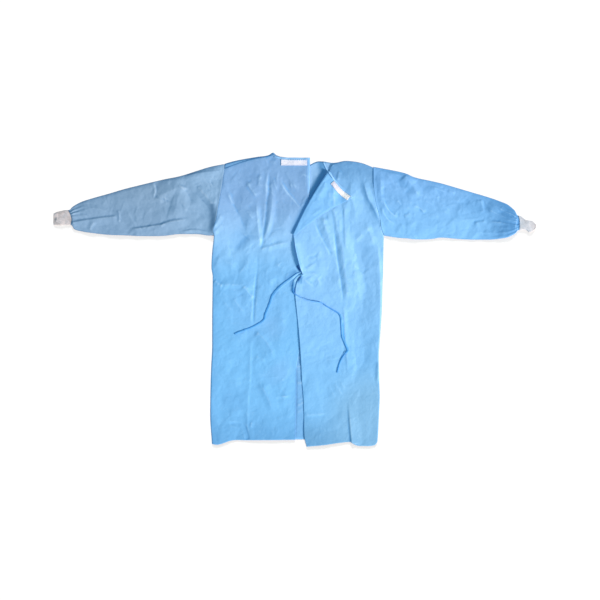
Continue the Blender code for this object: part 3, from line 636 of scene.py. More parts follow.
# left back
leftBack = {
    "outline": [  # y, side, centre edge
        (-577, -331, 2), (-457, -338, 4), (-330, -336, 6), (-270, -334, 7), (-182, -330, 21),
        (-82, -330, 26), (10, -329, 32), (92, -328, 39), (129, -333, 40), (200, -329, 44), (256, -323, 47),
        (272, -327, 48), (323, -314, 51), (376, -305, 53), (425, -297, 59), (466, -290, 61),
        (524, -281, 61),
    ],
    "hem": [(-331, -577), (-312, -580), (-251, -563), (-190, -562), (-73, -561), (2, -560)],
    "top": [
        (-281, 526), (-251, 537), (-188, 558), (-149, 567), (-104, 575), (-84, 580), (-56, 571), (61, 567),
    ],
    "armholeLift": [
        (140, 0.0), (205, 1.2), (250, 5.0), (290, 9.0), (335, 9.6), (385, 7.4), (425, 3.6), (470, 0.6),
        (530, 0.0),
    ],
    "valley": [
        (140, -280), (196, -250), (222, -218), (256, -192), (318, -212), (385, -245), (445, -262),
        (530, -262),
    ],
    "rows": 336,
    "columns": 122,
    "span": ((-345, -590), (70, 590)),
    "wrinkles": ((-340, -580), (60, 560), 230, 13, 62),
    "swells": [(150, 1.6, 3.1), (*fineSwell, 9.4)],
    "skirtCrumple": 0.62,
    "slitTop": -235,
    "creases": [
        # rise, width left, width right, fade in, fade out, points
        (2.2, 10, 9, .1, .5, [
            (-130, 228), (-119, 255), (-106, 285), (-98, 320), (-92, 360), (-89, 400), (-89, 440),
            (-94, 480),
            (-100, 520)]),
        (-1.3, 3, 8, .1, .2, [
            (-141, 196), (-133, 215), (-128, 240), (-121, 290), (-115, 350), (-111, 400), (-107, 440),
            (-105, 480),
            (-103, 532)]),
        (1.2, 10, 4, .2, .3, [(-112, 400), (-109, 460), (-106, 530)]),
        (3.9, 40, 9, .2, .3, [(-137, 208), (-140, 240), (-146, 290), (-150, 340), (-152, 380), (-152, 405)]),
        (2.0, 20, 6, .2, .2, [(-190, 475), (-180, 452), (-166, 432), (-149, 408)]),
        (1.6, 8, 22, .3, .3, [(-144, 438), (-140, 470), (-136, 505)]),
        (-1.3, 30, 14, .1, .3, [
            (-192, 255), (-200, 285), (-214, 318), (-230, 352), (-246, 385), (-258, 418)]),
        (-1.6, 30, 16, .3, .1, [(-250, 196), (-218, 222), (-192, 255)]),
        (1.4, 9, 5, .3, .3, [(-246, 378), (-256, 402), (-266, 428)]),
        (-2.8, 44, 4, .3, .05, [(-58, 486), (-40, 456), (-22, 430), (0, 406), (26, 374)]),
        (1.8, 4, 16, .1, .4, [(26, 374), (35, 395), (56, 420)]),
        (0.9, 7, 16, .3, .15, [(-8, 440), (-20, 480), (-36, 517)]),
        (0.8, 6, 12, .3, .2, [(52, 450), (46, 480), (34, 510)]),
        (0.8, 4, 12, .3, .3, [(10, 430), (-2, 462), (-6, 500)]),
        (1.0, 10, 4, .3, .3, [(-73, 430), (-70, 480), (-66, 515)]),
        (2.0, 6, 12, .2, .08, [(-148, 196), (-118, 206), (-80, 217), (-40, 226), (-4, 232)]),
        (-1.5, 4, 5, .15, .25, [
            (-166, -104), (-165, -60), (-162, -10), (-158, 40), (-153, 90), (-148, 150)]),
        (0.7, 9, 3.5, .1, .2, [
            (-190, -560), (-189, -480), (-187, -420), (-184, -370), (-179, -320), (-177, -260), (-176, -200),
            (-172, -128)]),
        (1.9, 6, 12, .2, .2, [(-322, 78), (-303, 62), (-286, 54)]),
        (2.2, 22, 10, .25, .2, [(-300, 55), (-252, 60), (-205, 56), (-166, 34)]),
        (1.9, 7, 18, .15, .2, [(-208, 55), (-186, 30), (-163, 2)]),
        (2.0, 9, 24, .12, .3, [(-160, -126), (-134, -146), (-108, -176), (-92, -214), (-94, -250)]),
        (1.0, 9, 16, .25, .3, [(-152, -160), (-122, -200), (-98, -252)]),
        (1.4, 9, 20, .3, .3, [(-162, -226), (-142, -232), (-116, -246)]),
        (2.2, 22, 12, .2, .3, [(-140, -330), (-112, -384), (-84, -450)]),
        (0.8, 7, 3, .3, .3, [(-86, -388), (-46, -388), (-8, -382)]),
        (-2.2, 6, 7, .25, .05, [(-276, -492), (-236, -498), (-205, -506), (-194, -528), (-188, -562)]),
        (1.0, 4, 8, .3, .3, [(-174, -514), (-173, -486)]),
        (0.9, 6, 14, .3, .3, [(-284, -6), (-268, -26), (-250, -46)]),
        (1.2, 6, 16, .3, .3, [(-250, 12), (-226, -22), (-196, -60)]),
        (1.8, 7, 10, .2, .3, [(-321, 284), (-305, 312), (-288, 345)]),
        (1.5, 6, 9, .2, .3, [(-322, 262), (-304, 282), (-286, 304)]),
        (1.2, 10, 6, .3, .3, [(-194, 358), (-180, 340), (-163, 320)]),
        (0.5, 5, 12, .3, .3, [(-73, 128), (-70, 150), (-71, 172)]),
        (1.4, 26, 30, .3, .3, [(-316, 176), (-272, 150), (-222, 136)]),
        (1.1, 22, 20, .3, .3, [(-128, 128), (-104, 96), (-86, 50)]),
        (0.9, 14, 18, .3, .3, [(-74, 150), (-52, 118), (-34, 84)]),
        (0.9, 14, 18, .3, .3, [(-70, -20), (-54, -60), (-46, -104)]),
        (1.6, 60, 44, .3, .3, [(-122, -110), (-82, -210), (-74, -300), (-86, -370)]),
        (0.9, 24, 18, .3, .3, [(-300, -80), (-262, -140), (-222, -180)]),
        (0.8, 20, 22, .3, .3, [(-306, -260), (-262, -300), (-216, -320)]),
        (0.8, 18, 18, .3, .3, [(-300, -400), (-256, -420), (-214, -470)]),
        (0.8, 20, 16, .3, .3, [(-160, -440), (-112, -480), (-60, -500)]),
    ],
    "facets": [(58, 2.1, 11, (1.0, 0.72)), (27, 1.15, 12, (1.0, 0.85)), (14, 0.4, 14, (1.0, 0.9))],
    "shades": [
        (0.85, 11, 6, .04, .1, [(-12, 262), (17, 326), (51, 391), (88, 454), (129, 516)]),
        (0.17, 9, 14, .2, .25, [(-162, -128), (-136, -146), (-112, -172), (-98, -206), (-98, -240)]),
        (0.12, 9, 14, .3, .2, [(-146, -334), (-120, -372), (-98, -412), (-76, -452)]),
        (0.30, 24, 4, .2, .2, [(-146, 250), (-190, 254), (-222, 222), (-248, 196)]),
        (0.12, 16, 16, .3, .3, [(-168, 262), (-176, 300), (-190, 340)]),
        # the two rows below 0 are painted light: they lighten the cloth towards the inside's tint
        (-0.40, 50, 50, .3, .3, [(-90, -250), (-60, -285), (-30, -330)]),
        (-0.30, 40, 40, .3, .3, [(-110, -60), (-90, -120), (-70, -170)]),
        (0.32, 30, 30, .3, .3, [(-242, 290), (-215, 240), (-190, 200)]),
        (0.28, 45, 45, .3, .3, [(-310, -385), (-250, -400), (-190, -430)]),
        (1.10, 4, 13, .1, .5, [(12, 114), (-8, 101), (-26, 87), (-54, 62)]),
        (1.30, 7, 5, .2, .3, [(-7, 84), (-14, 66), (-17, 44)]),
        (2.80, 5, 4, .2, .1, [(8, 140), (14, 126), (22, 114)]),
        (0.10, 60, 60, .3, .3, [(-250, -470), (-180, -490), (-100, -490)]),
        (0.55, 2.6, 2.6, .05, .3, [(50, 566), (49, 520), (50, 470), (50, 425)]),
        (0.6, 2.5, 2.5, .2, .2, [(-116, 560), (-108, 569), (-103, 576)]),
        (0.5, 2.5, 2.5, .2, .3, [(-98, 566), (-84, 560), (-70, 557)]),
        (0.35, 3, 3, .2, .2, [(-297, 420), (-303, 380), (-310, 345), (-316, 310)]),
    ],
}


def leftSide(y):
    return read(column(leftBack["outline"], 1), y)


def leftCentre(y):
    return read(column(leftBack["outline"], 2), y)


def makeLeftBack():
    bottom, top = leftBack["outline"][0][0], leftBack["outline"][-1][0]
    level = np.linspace(bottom, top, leftBack["rows"])[:, None]
    x = lerp(leftSide(level), leftCentre(level), marks(leftBack["columns"], near=1.0, far=0.4)[None, :])
    y = level + nearHem(level, bottom) * (read(leftBack["hem"], x) - bottom)
    y = y + nearShoulder(level, top) * (read(leftBack["top"], x) - top)
    # crumpled least on the slope beside the armhole and in the skirt
    valley = read(leftBack["valley"], level)
    onSlope = smooth((valley - x) / 14) * smooth((level - 190) / 40) * smooth((450 - level) / 30)
    crumpled = (1 - 0.6 * onSlope) * aboveWaist(level, leftBack["skirtCrumple"])
    relief = facetHeight(x, y, leftBack["facets"], *leftBack["span"])
    relief += creaseHeight(x, y, smallWrinkles(*leftBack["wrinkles"]))
    relief = relief * crumpled + creaseHeight(x, y, leftBack["creases"])
    relief += sum(swell(x, y, *row) for row in leftBack["swells"])
    # flatter where the right back lies over it, but not in the slit
    foot, neck = rightBack["foldFoot"], rightBack["foldNeck"]
    onFold = np.interp(level, [foot[1], neck[1]], [foot[0], neck[0]])
    lapEdge = np.where(level < gown["armpit"], rightCentre(level), onFold)
    clearOfLap = smooth((lapEdge - 4 - x) / 60)
    inSlit = smooth((leftBack["slitTop"] - level) / 40)
    relief *= np.maximum(clearOfLap, 0.7 * inSlit)
    lift = read(leftBack["armholeLift"], level)
    edge = x - leftSide(level)
    relief += lift * np.clip(1 - edge / (valley - leftSide(level)), 0, 1)
    z = np.maximum(lerp(gown["underLap"], gown["backTop"], clearOfLap) + relief, gown["lowest"])
    z = turnDown(soften(z, 1, share=0.3), edge, level, lift, roll=6.0)
    toTop = read(leftBack["top"], x) - y
    shoulder = smooth((-80 - x) / 12)
    z = rollShoulder(z, toTop, roll=16.0, share=shoulder)
    # painted shade at the shoulder, along the side below the armpit and along the centre edge in the slit,
    # and the inside's tint past the end of the loop tape
    paintedShadeAndInside = 0.6 * shoulder * smooth(1 - toTop / 11) + shading(x, y, leftBack["shades"])
    paintedShadeAndInside = paintedShadeAndInside + (0.6 * smooth(1 - edge / 6) + 0.34 * smooth(1 - edge / 44)) * smooth((240 - level) / 60)
    paintedShadeAndInside = paintedShadeAndInside + smooth(1 - (leftCentre(level) - x) / 6) * smooth((-262 - level) / 20)
    paintedShadeAndInside = paintedShadeAndInside - 0.9 * smooth((x - 50) / 2) * smooth((level - 390) / 30)
    piece = sheetMesh("back_left_cloth", np.stack([x, y, z], axis=-1), foldTone(z), paintedShadeAndInside)
    thicken(piece, gown["wall"])
    return finishPiece(piece, cloths["backLeft"], "cloth", "back_left")


# right back, with its corner folded back over it
rightBack = {
    "outline": [  # y, centre edge, side
        (-566, 48, 331), (-540, 40, 333), (-456, 37, 337), (-386, 34, 340), (-328, 29, 338), (-230, 24, 336),
        (-122, 16, 343), (-46, 8, 348), (25, 2, 350), (84, 16, 352), (101, 31, 353), (121, 24, 353),
        (164, 12, 354), (256, -8, 356),
    ],
    "hem": [
        (48, -588), (121, -581), (177, -573), (220, -569), (231, -575), (248, -583), (276, -585),
        (308, -584), (325, -577), (331, -566),
    ],
    "armhole": [(256, 356), (292, 344), (318, 341), (369, 328), (400, 321), (456, 315), (528, 314)],
    "top": [(134, 512), (144, 533), (161, 546), (182, 553), (204, 556), (242, 552), (272, 545), (314, 528)],
    "armholeLift": [(200, 0.0), (256, 0.0), (296, 4.6), (345, 4.6), (400, 1.6), (450, 0.2), (530, 0.0)],
    "edgeLift": [
        (-590, -1.2), (-500, -1.3), (-420, -1.5), (-330, -1.3), (-250, -0.8), (-195, 0.8), (-145, 1.6),
        (-60, 0.6), (20, 0.8), (84, 2.4), (101, 4.0), (125, 8.6), (170, 10.0), (215, 7.0), (240, 1.8),
        (256, -0.7),
    ],
    "rows": 240,
    "columns": 112,
    "span": ((-20, -600), (370, 570)),
    "wrinkles": ((0, -580), (350, 550), 230, 23, 100),
    "swells": [(150, 1.8, 23.1), (*fineSwell, 29.4)],
    "skirtCrumple": 0.6,
    "creases": [
        (3.4, 14, 34, .2, .3, [
            (212, 4), (207, 60), (202, 110), (196, 160), (190, 210), (184, 255), (176, 300)]),
        (-1.5, 9, 3, .2, .1, [
            (154, 302), (160, 260), (167, 200), (175, 140), (184, 85), (191, 30), (195, -10)]),
        (1.0, 3, 8, .2, .2, [(212, -306), (209, -240), (204, -180), (200, -90), (196, -40), (195, 0)]),
        (3.2, 4.5, 26, .02, .6, [(230, -582), (226, -540), (222, -500), (219, -450), (216, -390)]),
        (-3.2, 50, 20, .12, .12, [
            (248, 272), (241, 218), (258, 165), (272, 112), (284, 58), (274, 14), (255, -40), (230, -82),
            (245, -130), (254, -165), (258, -235), (255, -312)]),
        (-1.6, 4, 24, .1, .2, [(150, 176), (128, 216), (108, 252), (94, 284), (80, 322)]),
        (2.6, 20, 12, .3, .1, [(160, 170), (146, 212), (134, 255), (122, 290), (112, 330)]),
        (1.8, 6, 18, .25, .1, [(171, 262), (168, 295), (163, 332), (156, 368)]),
        (1.4, 4, 14, .2, .2, [(203, 196), (202, 244), (200, 300), (199, 350), (197, 392)]),
        (0.6, 10, 4, .3, .2, [(119, 296), (116, 315), (112, 335)]),
        (2.6, 34, 11, .25, .3, [(318, 214), (303, 255), (282, 306)]),
        (1.4, 10, 7, .3, .3, [(238, 230), (256, 248), (276, 266)]),
        (4.2, 11, 12, .35, .22, [(342, 300), (328, 342), (312, 376), (295, 405), (284, 440), (274, 486)]),
        (-0.8, 4, 5, .3, .3, [(42, 152), (58, 168), (84, 176), (98, 202)]),
        (0.9, 4, 11, .3, .3, [(72, 98), (90, 95), (108, 86)]),
        (0.8, 4, 9, .3, .3, [(88, 92), (97, 76), (106, 54)]),
        (1.0, 5, 9, .3, .3, [(36, 70), (54, 82), (74, 88)]),
        (3.4, 46, 8, .12, .2, [(337, -310), (339, -120), (341, 20), (338, 140), (322, 258)]),
        (1.5, 5, 14, .1, .5, [(33, 112), (56, 128), (92, 150)]),
        (1.2, 5, 14, .1, .5, [(34, 100), (66, 104), (112, 98)]),
        (1.4, 4, 14, .1, .5, [(30, 90), (48, 72), (84, 46)]),
        (0.8, 12, 6, .3, .3, [(278, 86), (290, 70), (304, 52)]),
        (0.9, 10, 3, .05, .5, [(38, -464), (75, -461), (110, -457), (170, -452)]),
        (0.8, 4, 9, .3, .3, [(136, -344), (147, -366), (159, -390)]),
        (0.9, 4, 10, .3, .3, [(160, -332), (174, -356), (191, -384)]),
        (0.7, 4, 9, .3, .3, [(180, -326), (192, -342), (204, -358)]),
        (1.6, 3, 6, .2, .2, [(133, 528), (140, 540), (158, 546)]),
        (0.9, 3, 12, .2, .3, [(182, 270), (180, 300), (176, 330)]),
        (0.5, 3, 10, .3, .3, [(138, 300), (134, 330), (130, 352)]),
        (2.6, 3, 8, .15, .4, [(337, -246), (334, -288), (331, -336)]),
        (1.3, 5, 7, .2, .2, [(171, 474), (174, 492), (178, 514)]),
        (0.9, 16, 14, .3, .3, [(222, 130), (226, 180), (224, 236)]),
        (1.0, 20, 26, .3, .3, [(52, 30), (84, -30), (132, -72)]),
        (0.9, 20, 18, .3, .3, [(64, -130), (110, -160), (160, -168)]),
        (0.9, 18, 20, .3, .3, [(70, -250), (112, -262), (170, -250)]),
        (0.8, 18, 24, .3, .3, [(300, -150), (306, -210), (300, -262)]),
        (0.9, 22, 18, .3, .3, [(262, -380), (292, -420), (318, -470)]),
        (0.9, 20, 14, .3, .3, [(214, 420), (232, 470), (240, 524)]),
        (0.9, 14, 12, .3, .3, [(232, 330), (252, 360), (262, 400)]),
    ],
    "facets": [(56, 1.9, 21, (1.0, 0.72)), (27, 1.1, 22, (1.0, 0.85)), (14, 0.4, 24, (1.0, 0.9))],
    "shades": [
        (0.6, 3, 3, .05, .2, [(316, 526), (317, 470), (319, 420), (322, 396)]),
        (0.4, 2.5, 2.5, .2, .3, [(132, 528), (142, 541), (160, 547)]),
        (0.5, 5, 2.5, .2, .2, [(338, 296), (324, 338), (306, 374), (289, 403), (278, 440), (268, 484)]),
        (0.24, 24, 26, .3, .3, [(286, 244), (292, 180), (302, 118)]),
        (0.28, 30, 30, .3, .3, [(322, 440), (318, 350), (322, 270)]),
        (3.0, 5, 4, .1, .5, [(27, 98), (20, 88), (15, 76), (11, 60)]),
        (1.1, 3, 2.5, .2, .3, [(27, 92), (26, 76), (25, 60)]),
        (0.6, 5, 5, .2, .2, [(3, 225), (12, 182), (20, 147), (27, 122)]),
        (0.10, 36, 36, .3, .3, [(180, 350), (215, 330), (240, 290)]),
    ],
    "foldFoot": (-8, 256),
    "foldNeck": (134, 512),
    "foldBow": -8.0,
    "rollFoot": 2.3,
    "rollNeck": 5.8,
    "cornerEdge": [(0, 5), (87, 42), (173, 85), (249, 138)],
    "cornerNeck": [(249, 138), (265, 85), (272, 38), (292, 14)],
    "edgeRows": 7,
    "neckRows": 5,
    "cornerOnFold": 0.66,
    "yokeRows": 88,
    "rollSteps": 12,
    "flapSteps": 40,
    "flapClear": 1.2,
    "flapDrop": 110.0,
    # the flap's shade rows get painted shade, a dark line beside the neck binding
    "flapShade": (28, 0.6),  # rows shaded beside the free edge, from the neck edge down, and how much
    "flapSpan": ((-30, 240), (260, 540)),
    "flapCreases": [
        (1.3, 10, 14, .2, .3, [(84, 388), (106, 428), (130, 474)]),
        (1.2, 5, 10, .2, .2, [(157, 362), (156, 420), (155, 478)]),
        (1.0, 8, 6, .3, .3, [(60, 330), (90, 352), (120, 366)]),
        (0.8, 5, 6, .3, .3, [(112, 452), (118, 462), (126, 468)]),
        (0.8, 6, 8, .3, .3, [(150, 388), (142, 410), (138, 440)]),
    ],
    "flapFacets": [(34, 1.3, 31, (1.0, 1.0)), (15, 0.45, 32, (1.0, 1.0))],
}
foldRun = np.array(rightBack["foldNeck"], float) - rightBack["foldFoot"]
foldLength = np.linalg.norm(foldRun)
foldRun /= foldLength
foldAway = np.array([foldRun[1], -foldRun[0]])


def along(points, fraction):
    # a place on a smooth curve through all the points, by its share of their length
    line = lineThrough([(*p, 0) if len(p) == 2 else p for p in points], 2.0)
    run = np.concatenate([[0], np.cumsum(np.linalg.norm(np.diff(line[:, :2], axis=0), axis=1))])
    return np.array([np.interp(fraction * run[-1], run, line[:, k]) for k in (0, 1)])


def foldShare(row):
    edgeRows, neckRows, corner = (rightBack[k] for k in ("edgeRows", "neckRows", "cornerOnFold"))
    return corner * row / edgeRows if row <= edgeRows else lerp(corner, 1, (row - edgeRows) / neckRows)


def foldPoint(share):
    bow = rightBack["foldBow"] * math.sin(math.pi * share)
    return np.array(rightBack["foldFoot"]) + foldRun * foldLength * share + foldAway * bow


def flapEnd(row):
    edgeRows, neckRows = rightBack["edgeRows"], rightBack["neckRows"]
    if row <= edgeRows:
        distance, width = along(rightBack["cornerEdge"], row / edgeRows)
    else:
        distance, width = along(rightBack["cornerNeck"], (row - edgeRows) / neckRows)
    return np.array(rightBack["foldFoot"]) + foldRun * distance + foldAway * width


def rightCentre(y):
    return read(column(rightBack["outline"], 1), y)


def rightArmhole(y):
    return read(rightBack["armhole"], y)


def rightSide(y):
    low = read(column(rightBack["outline"], 2), y)
    return np.where(y < gown["armpit"], low, rightArmhole(y))


rightFacets = [Crumple(*rightBack["span"], *row) for row in rightBack["facets"]]
rightWrinkles = smallWrinkles(*rightBack["wrinkles"])


def rightHeight(x, y):
    # the top of the right back at any place, before its edges are turned down
    broad, fine = (swell(x, y, *row) for row in rightBack["swells"])
    crumpled = aboveWaist(y, rightBack["skirtCrumple"])
    relief = creaseHeight(x, y, rightBack["creases"]) + broad
    relief += crumpled * sum(f.height(x, y) for f in rightFacets) + fine
    relief += crumpled * creaseHeight(x, y, rightWrinkles)
    onLap = smooth((22 - x + leftCentre(y)) / 30) * smooth((430 - y) / 40) * smooth((y + 290) / 60)
    z = gown["backTop"] + relief * (1 - 0.5 * onLap)
    return np.maximum(z, lerp(gown["lowest"], gown["underLap"] + 1.0, onLap))


def rightBody(t):
    # the cloth below the armpit: the place of each point and its level
    bottom, armpit = rightBack["outline"][0][0], gown["armpit"]
    level = np.linspace(bottom, armpit, rightBack["rows"])[:, None]
    centre = rightCentre(level) + rightBack["rollFoot"] * smooth((level - 200) / 56)
    x = lerp(centre, rightSide(level - 0.01), t)
    y = level + nearHem(level, bottom) * (read(rightBack["hem"], x) - bottom)
    edgeLift = read(rightBack["edgeLift"], level) * np.exp(-(x - centre) / 16) * smooth((armpit - level) / 12)
    z = np.maximum(rightHeight(x, y) + edgeLift, gown["lowest"])
    return x, y, z, np.broadcast_to(level, x.shape)


def rightYoke(t, folds, radii):
    # above the armpit each row runs from the fold line to the armhole
    topLevel = rightBack["armhole"][-1][0]
    startX, startY = (folds + foldAway * radii[:, None]).T[:, :, None]
    share = (folds[:, 1:] - rightBack["foldFoot"][1]) / foldRun[1] / foldLength
    level = lerp(gown["armpit"], topLevel, share)
    outer = rightArmhole(level)
    x = lerp(startX, outer, t)
    f = smooth((x - startX) / (outer - startX))
    lift = read(rightBack["top"], x) - lerp(rightBack["top"][0][1], topLevel, f)
    y = lerp(startY, level, f) + nearShoulder(level, topLevel) * lift * smooth(t / 0.03)
    z = rightHeight(x, y) - 0.7 * np.exp(-(x - startX) / 16)
    return x, y, z, np.broadcast_to(level, x.shape)


def rightCorner(rowAt, folds, radii, feet):
    # the roll over the fold line, then the corner lying back on the panel, with its free edge first
    steps, rollSteps = rightBack["flapSteps"], rightBack["rollSteps"]
    rows = []
    for row, radius, fold, foot in zip(rowAt, radii, folds, feet):
        start, end = fold + foldAway * radius, flapEnd(row)
        points = []
        for turn in np.arange(1, rollSteps + 1) * math.pi / rollSteps:
            plan = fold + foldAway * radius * (1 - math.sin(turn))
            points.append((*plan, foot + radius * (1 - math.cos(turn)), 0.0))
        for step in range(1, steps + 1):
            plan = lerp(start, end, step / steps)
            points.append((*plan, foot + 2 * radius, (plan - start) @ foldAway))
        rows.append(points[::-1])
    x, y, high, distance = np.moveaxis(np.array(rows), -1, 0)
    flatX, flatY, away = x[:, :steps], y[:, :steps], distance[:, :steps]
    rest = rightHeight(flatX, flatY) + rightBack["flapClear"]
    own = creaseHeight(flatX, flatY, rightBack["flapCreases"])
    own += facetHeight(flatX, flatY, rightBack["flapFacets"], *rightBack["flapSpan"])
    drop = 1 - smooth(away / rightBack["flapDrop"])
    nearFold = smooth(away / 14)
    lying = rest + np.clip(own, -0.4, 9) * nearFold
    corner = np.maximum(lying, lerp(rest, high[:, :steps], drop) + own * nearFold)
    freeEdge = smooth(1 - np.arange(steps) / 5)[None, :]
    high[:, :steps] = soften(corner, 1, share=0.5) - 0.5 * freeEdge
    return x, y, high


def faceUp(build):
    # turns every face round if most of the cloth faces down
    if sum(f.normal.z * f.calc_area() for f in build.faces) < 0:
        bmesh.ops.reverse_faces(build, faces=build.faces)


def joinSheets(lower, upper, rows, columns, offset):
    # one row of faces joins the last row of the lower sheet to the upper sheet's first row, from offset on
    build = bmesh.new()
    build.from_mesh(lower.data)
    build.from_mesh(upper.data)
    bpy.data.objects.remove(upper)
    build.verts.ensure_lookup_table()
    layer = build.loops.layers.uv.active
    first, second = (rows - 1) * columns, rows * columns + offset
    for i in range(columns - 1):
        corners = (first + i, first + i + 1, second + i + 1, second + i)
        made = build.faces.new([build.verts[k] for k in corners])
        for loop in made.loops:
            loop[layer].uv = loop.vert.co.xy
    build.normal_update()
    faceUp(build)
    bmesh.ops.recalc_face_normals(build, faces=build.faces)
    faceUp(build)
    build.to_mesh(lower.data)
    build.free()
    lower.data.shade_smooth()
    return lower


def makeRightBack():
    t = marks(rightBack["columns"], near=0.6, far=1.0)[None, :]
    body = rightBody(t)
    count = rightBack["yokeRows"]
    rowAt = [(rightBack["edgeRows"] + rightBack["neckRows"]) * i / count for i in range(1, count + 1)]
    shares = np.array([foldShare(row) for row in rowAt])
    folds = np.array([foldPoint(share) for share in shares])
    radii = lerp(rightBack["rollFoot"], rightBack["rollNeck"], shares**2)
    x, y, z, level = (np.concatenate(pair) for pair in zip(body, rightYoke(t, folds, radii)))
    # side, armhole and shoulder edges turn down to the front panel and the sleeve
    lift = read(rightBack["armholeLift"], level)
    edge = rightSide(level - 0.01) - x
    z = turnDown(soften(z, 1, share=0.3) + lift * np.exp(-edge / 60), edge, level, lift, roll=4.0)
    toTop = read(rightBack["top"], x) - y
    shoulder = smooth((x - 150) / 14) * (level > 400)
    z = rollShoulder(z, toTop, roll=15.0, share=shoulder)
    # painted shade along the shoulder's top edge and along the side edge below the armpit, and the listed
    # lines of painted shade and shadow
    paintedShadeAndInside = 0.4 * shoulder * smooth(1 - toTop / 9) + smooth(1 - edge / 6) * smooth((256 - level) / 10)
    paintedShadeAndInside = paintedShadeAndInside + shading(x, y, rightBack["shades"])
    tone = foldTone(z)
    # the yoke's grid goes on over the fold; the corner shows its inside, so its paint is below 0, but for a
    # strip of painted shade beside its free edge at the neck
    rows = rightBack["rows"]
    px, py, pz = rightCorner(rowAt, folds, radii, z[rows:, 0])
    inside = np.full(px.shape, -1.0)
    shadeRows, shade = rightBack["flapShade"]
    inside[-shadeRows:, 1:4] = shade
    pairs = [(px, x), (py, y), (pz, z), (foldTone(pz), tone), (inside, paintedShadeAndInside)]
    wideX, wideY, wideZ, wideTone, widePaintedShadeAndInside = (np.concatenate([a, b[rows:]], 1) for a, b in pairs)
    grid = np.stack([x[:rows], y[:rows], z[:rows]], axis=-1)
    lower = sheetMesh("back_right_cloth", grid, tone[:rows], paintedShadeAndInside[:rows])
    upper = sheetMesh("back_right_yoke", np.stack([wideX, wideY, wideZ], axis=-1), wideTone, widePaintedShadeAndInside)
    piece = joinSheets(lower, upper, rows, x.shape[1], px.shape[1])
    thicken(piece, gown["wall"])
    return finishPiece(piece, cloths["backRight"], "cloth", "back_right")


# front panel, under the backs; its inside shows in the neck gap and in the slit
frontPanel = {
    "top": [
        (-286, 541), (-261, 549), (-229, 557), (-197, 563), (-149, 571), (-104, 578), (-86, 588), (-62, 562),
        (-20, 530), (30, 528), (62, 540), (80, 549), (97, 553), (118, 552), (152, 547), (182, 550),
        (204, 553), (242, 549), (272, 542), (313, 526),
    ],
    "hem": -559,
    "topLevel": 526.0,
    "inset": 2.0,
    "rows": 150,
    "steps": [(0, 0.445, 44), (0.455, 0.74, 62), (0.75, 1, 26)],  # columns, closest where the inside shows
    "facets": [(24, 0.3, 41, (1.0, 1.0))],
    "span": ((-360, -600), (370, 600)),
    "swell": (60, 0.25, 41.0),
    "lowest": 0.5,
    "highest": (1.2, 2.6),  # under the backs, and in the neck gap and the slit
    "creases": [
        (0.7, 3, 4, .2, .2, [(6, -268), (16, -267), (28, -264)]),
        (0.6, 3, 4, .2, .2, [(4, -284), (14, -286), (26, -283)]),
        (0.8, 3, 4, .2, .2, [(8, -336), (20, -332), (32, -330)]),
        (0.7, 3, 4, .2, .2, [(8, -402), (20, -402), (34, -397)]),
        (0.8, 3, 4, .2, .2, [(8, -424), (22, -418), (36, -408)]),
        (0.6, 3, 4, .2, .2, [(8, -450), (18, -447), (30, -445)]),
        (0.6, 3, 4, .2, .2, [(12, -230), (20, -232), (26, -229)]),
        (0.8, 8, 12, .3, .3, [(70, 430), (82, 470), (92, 520)]),
        (0.7, 10, 8, .3, .3, [(96, 500), (106, 520), (112, 546)]),
    ],
    "shades": [
        (1.35, 14, 12, .1, .02, [(51, 391), (88, 454), (110, 492), (116, 514), (109, 535), (106, 556)]),
        (0.55, 3.2, 3.2, .1, .1, [(4, -562), (8, -440), (9, -330), (9, -270)]),
    ],
}


def makeFront():
    bottom, top = frontPanel["hem"], frontPanel["topLevel"]
    level = np.linspace(bottom, top, frontPanel["rows"])[:, None]
    steps = np.concatenate([np.linspace(*row) for row in frontPanel["steps"]])
    inset = np.where(level < gown["armpit"], frontPanel["inset"], 0.0)
    x = lerp(leftSide(level) + inset, rightSide(level) - inset, steps[None, :])
    y = level + nearShoulder(level, top) * (read(frontPanel["top"], x) - top)
    relief = creaseHeight(x, y, frontPanel["creases"]) + swell(x, y, *frontPanel["swell"])
    relief += facetHeight(x, y, frontPanel["facets"], *frontPanel["span"])
    z = np.maximum(gown["frontTop"] + relief, frontPanel["lowest"])
    neckGap = smooth((x - 58) / 6) * smooth((150 - x) / 10) * smooth((y - 400) / 20)
    slit = smooth((x - 4) / 3) * smooth((46 - x) / 6) * smooth((-205 - y) / 10)
    z = np.minimum(z, lerp(*frontPanel["highest"], np.maximum(neckGap, slit)))
    toTop = read(frontPanel["top"], x) - y
    shoulder = np.maximum(smooth((-76 - x) / 8), smooth((x - 170) / 8))
    z = z + shoulder * (0.7 * rollOff(toTop, 16) * smooth((26 - toTop) / 10) - 0.3 * smooth(1 - toTop / 3))
    # painted shade along the shoulders' top edges and in the slit, and along the listed lines, among them the
    # shadow of the fold's roll in the neck gap
    paintedShadeAndInside = 0.75 * shoulder * smooth((30 - toTop) / 8) + 0.14 * slit + shading(x, y, frontPanel["shades"])
    piece = sheetMesh("front_cloth", np.stack([x, y, z], axis=-1), foldTone(z) * 1.6, paintedShadeAndInside)
    thicken(piece, gown["thinWall"])
    return finishPiece(piece, cloths["front"], "cloth_inside", "front_panel")


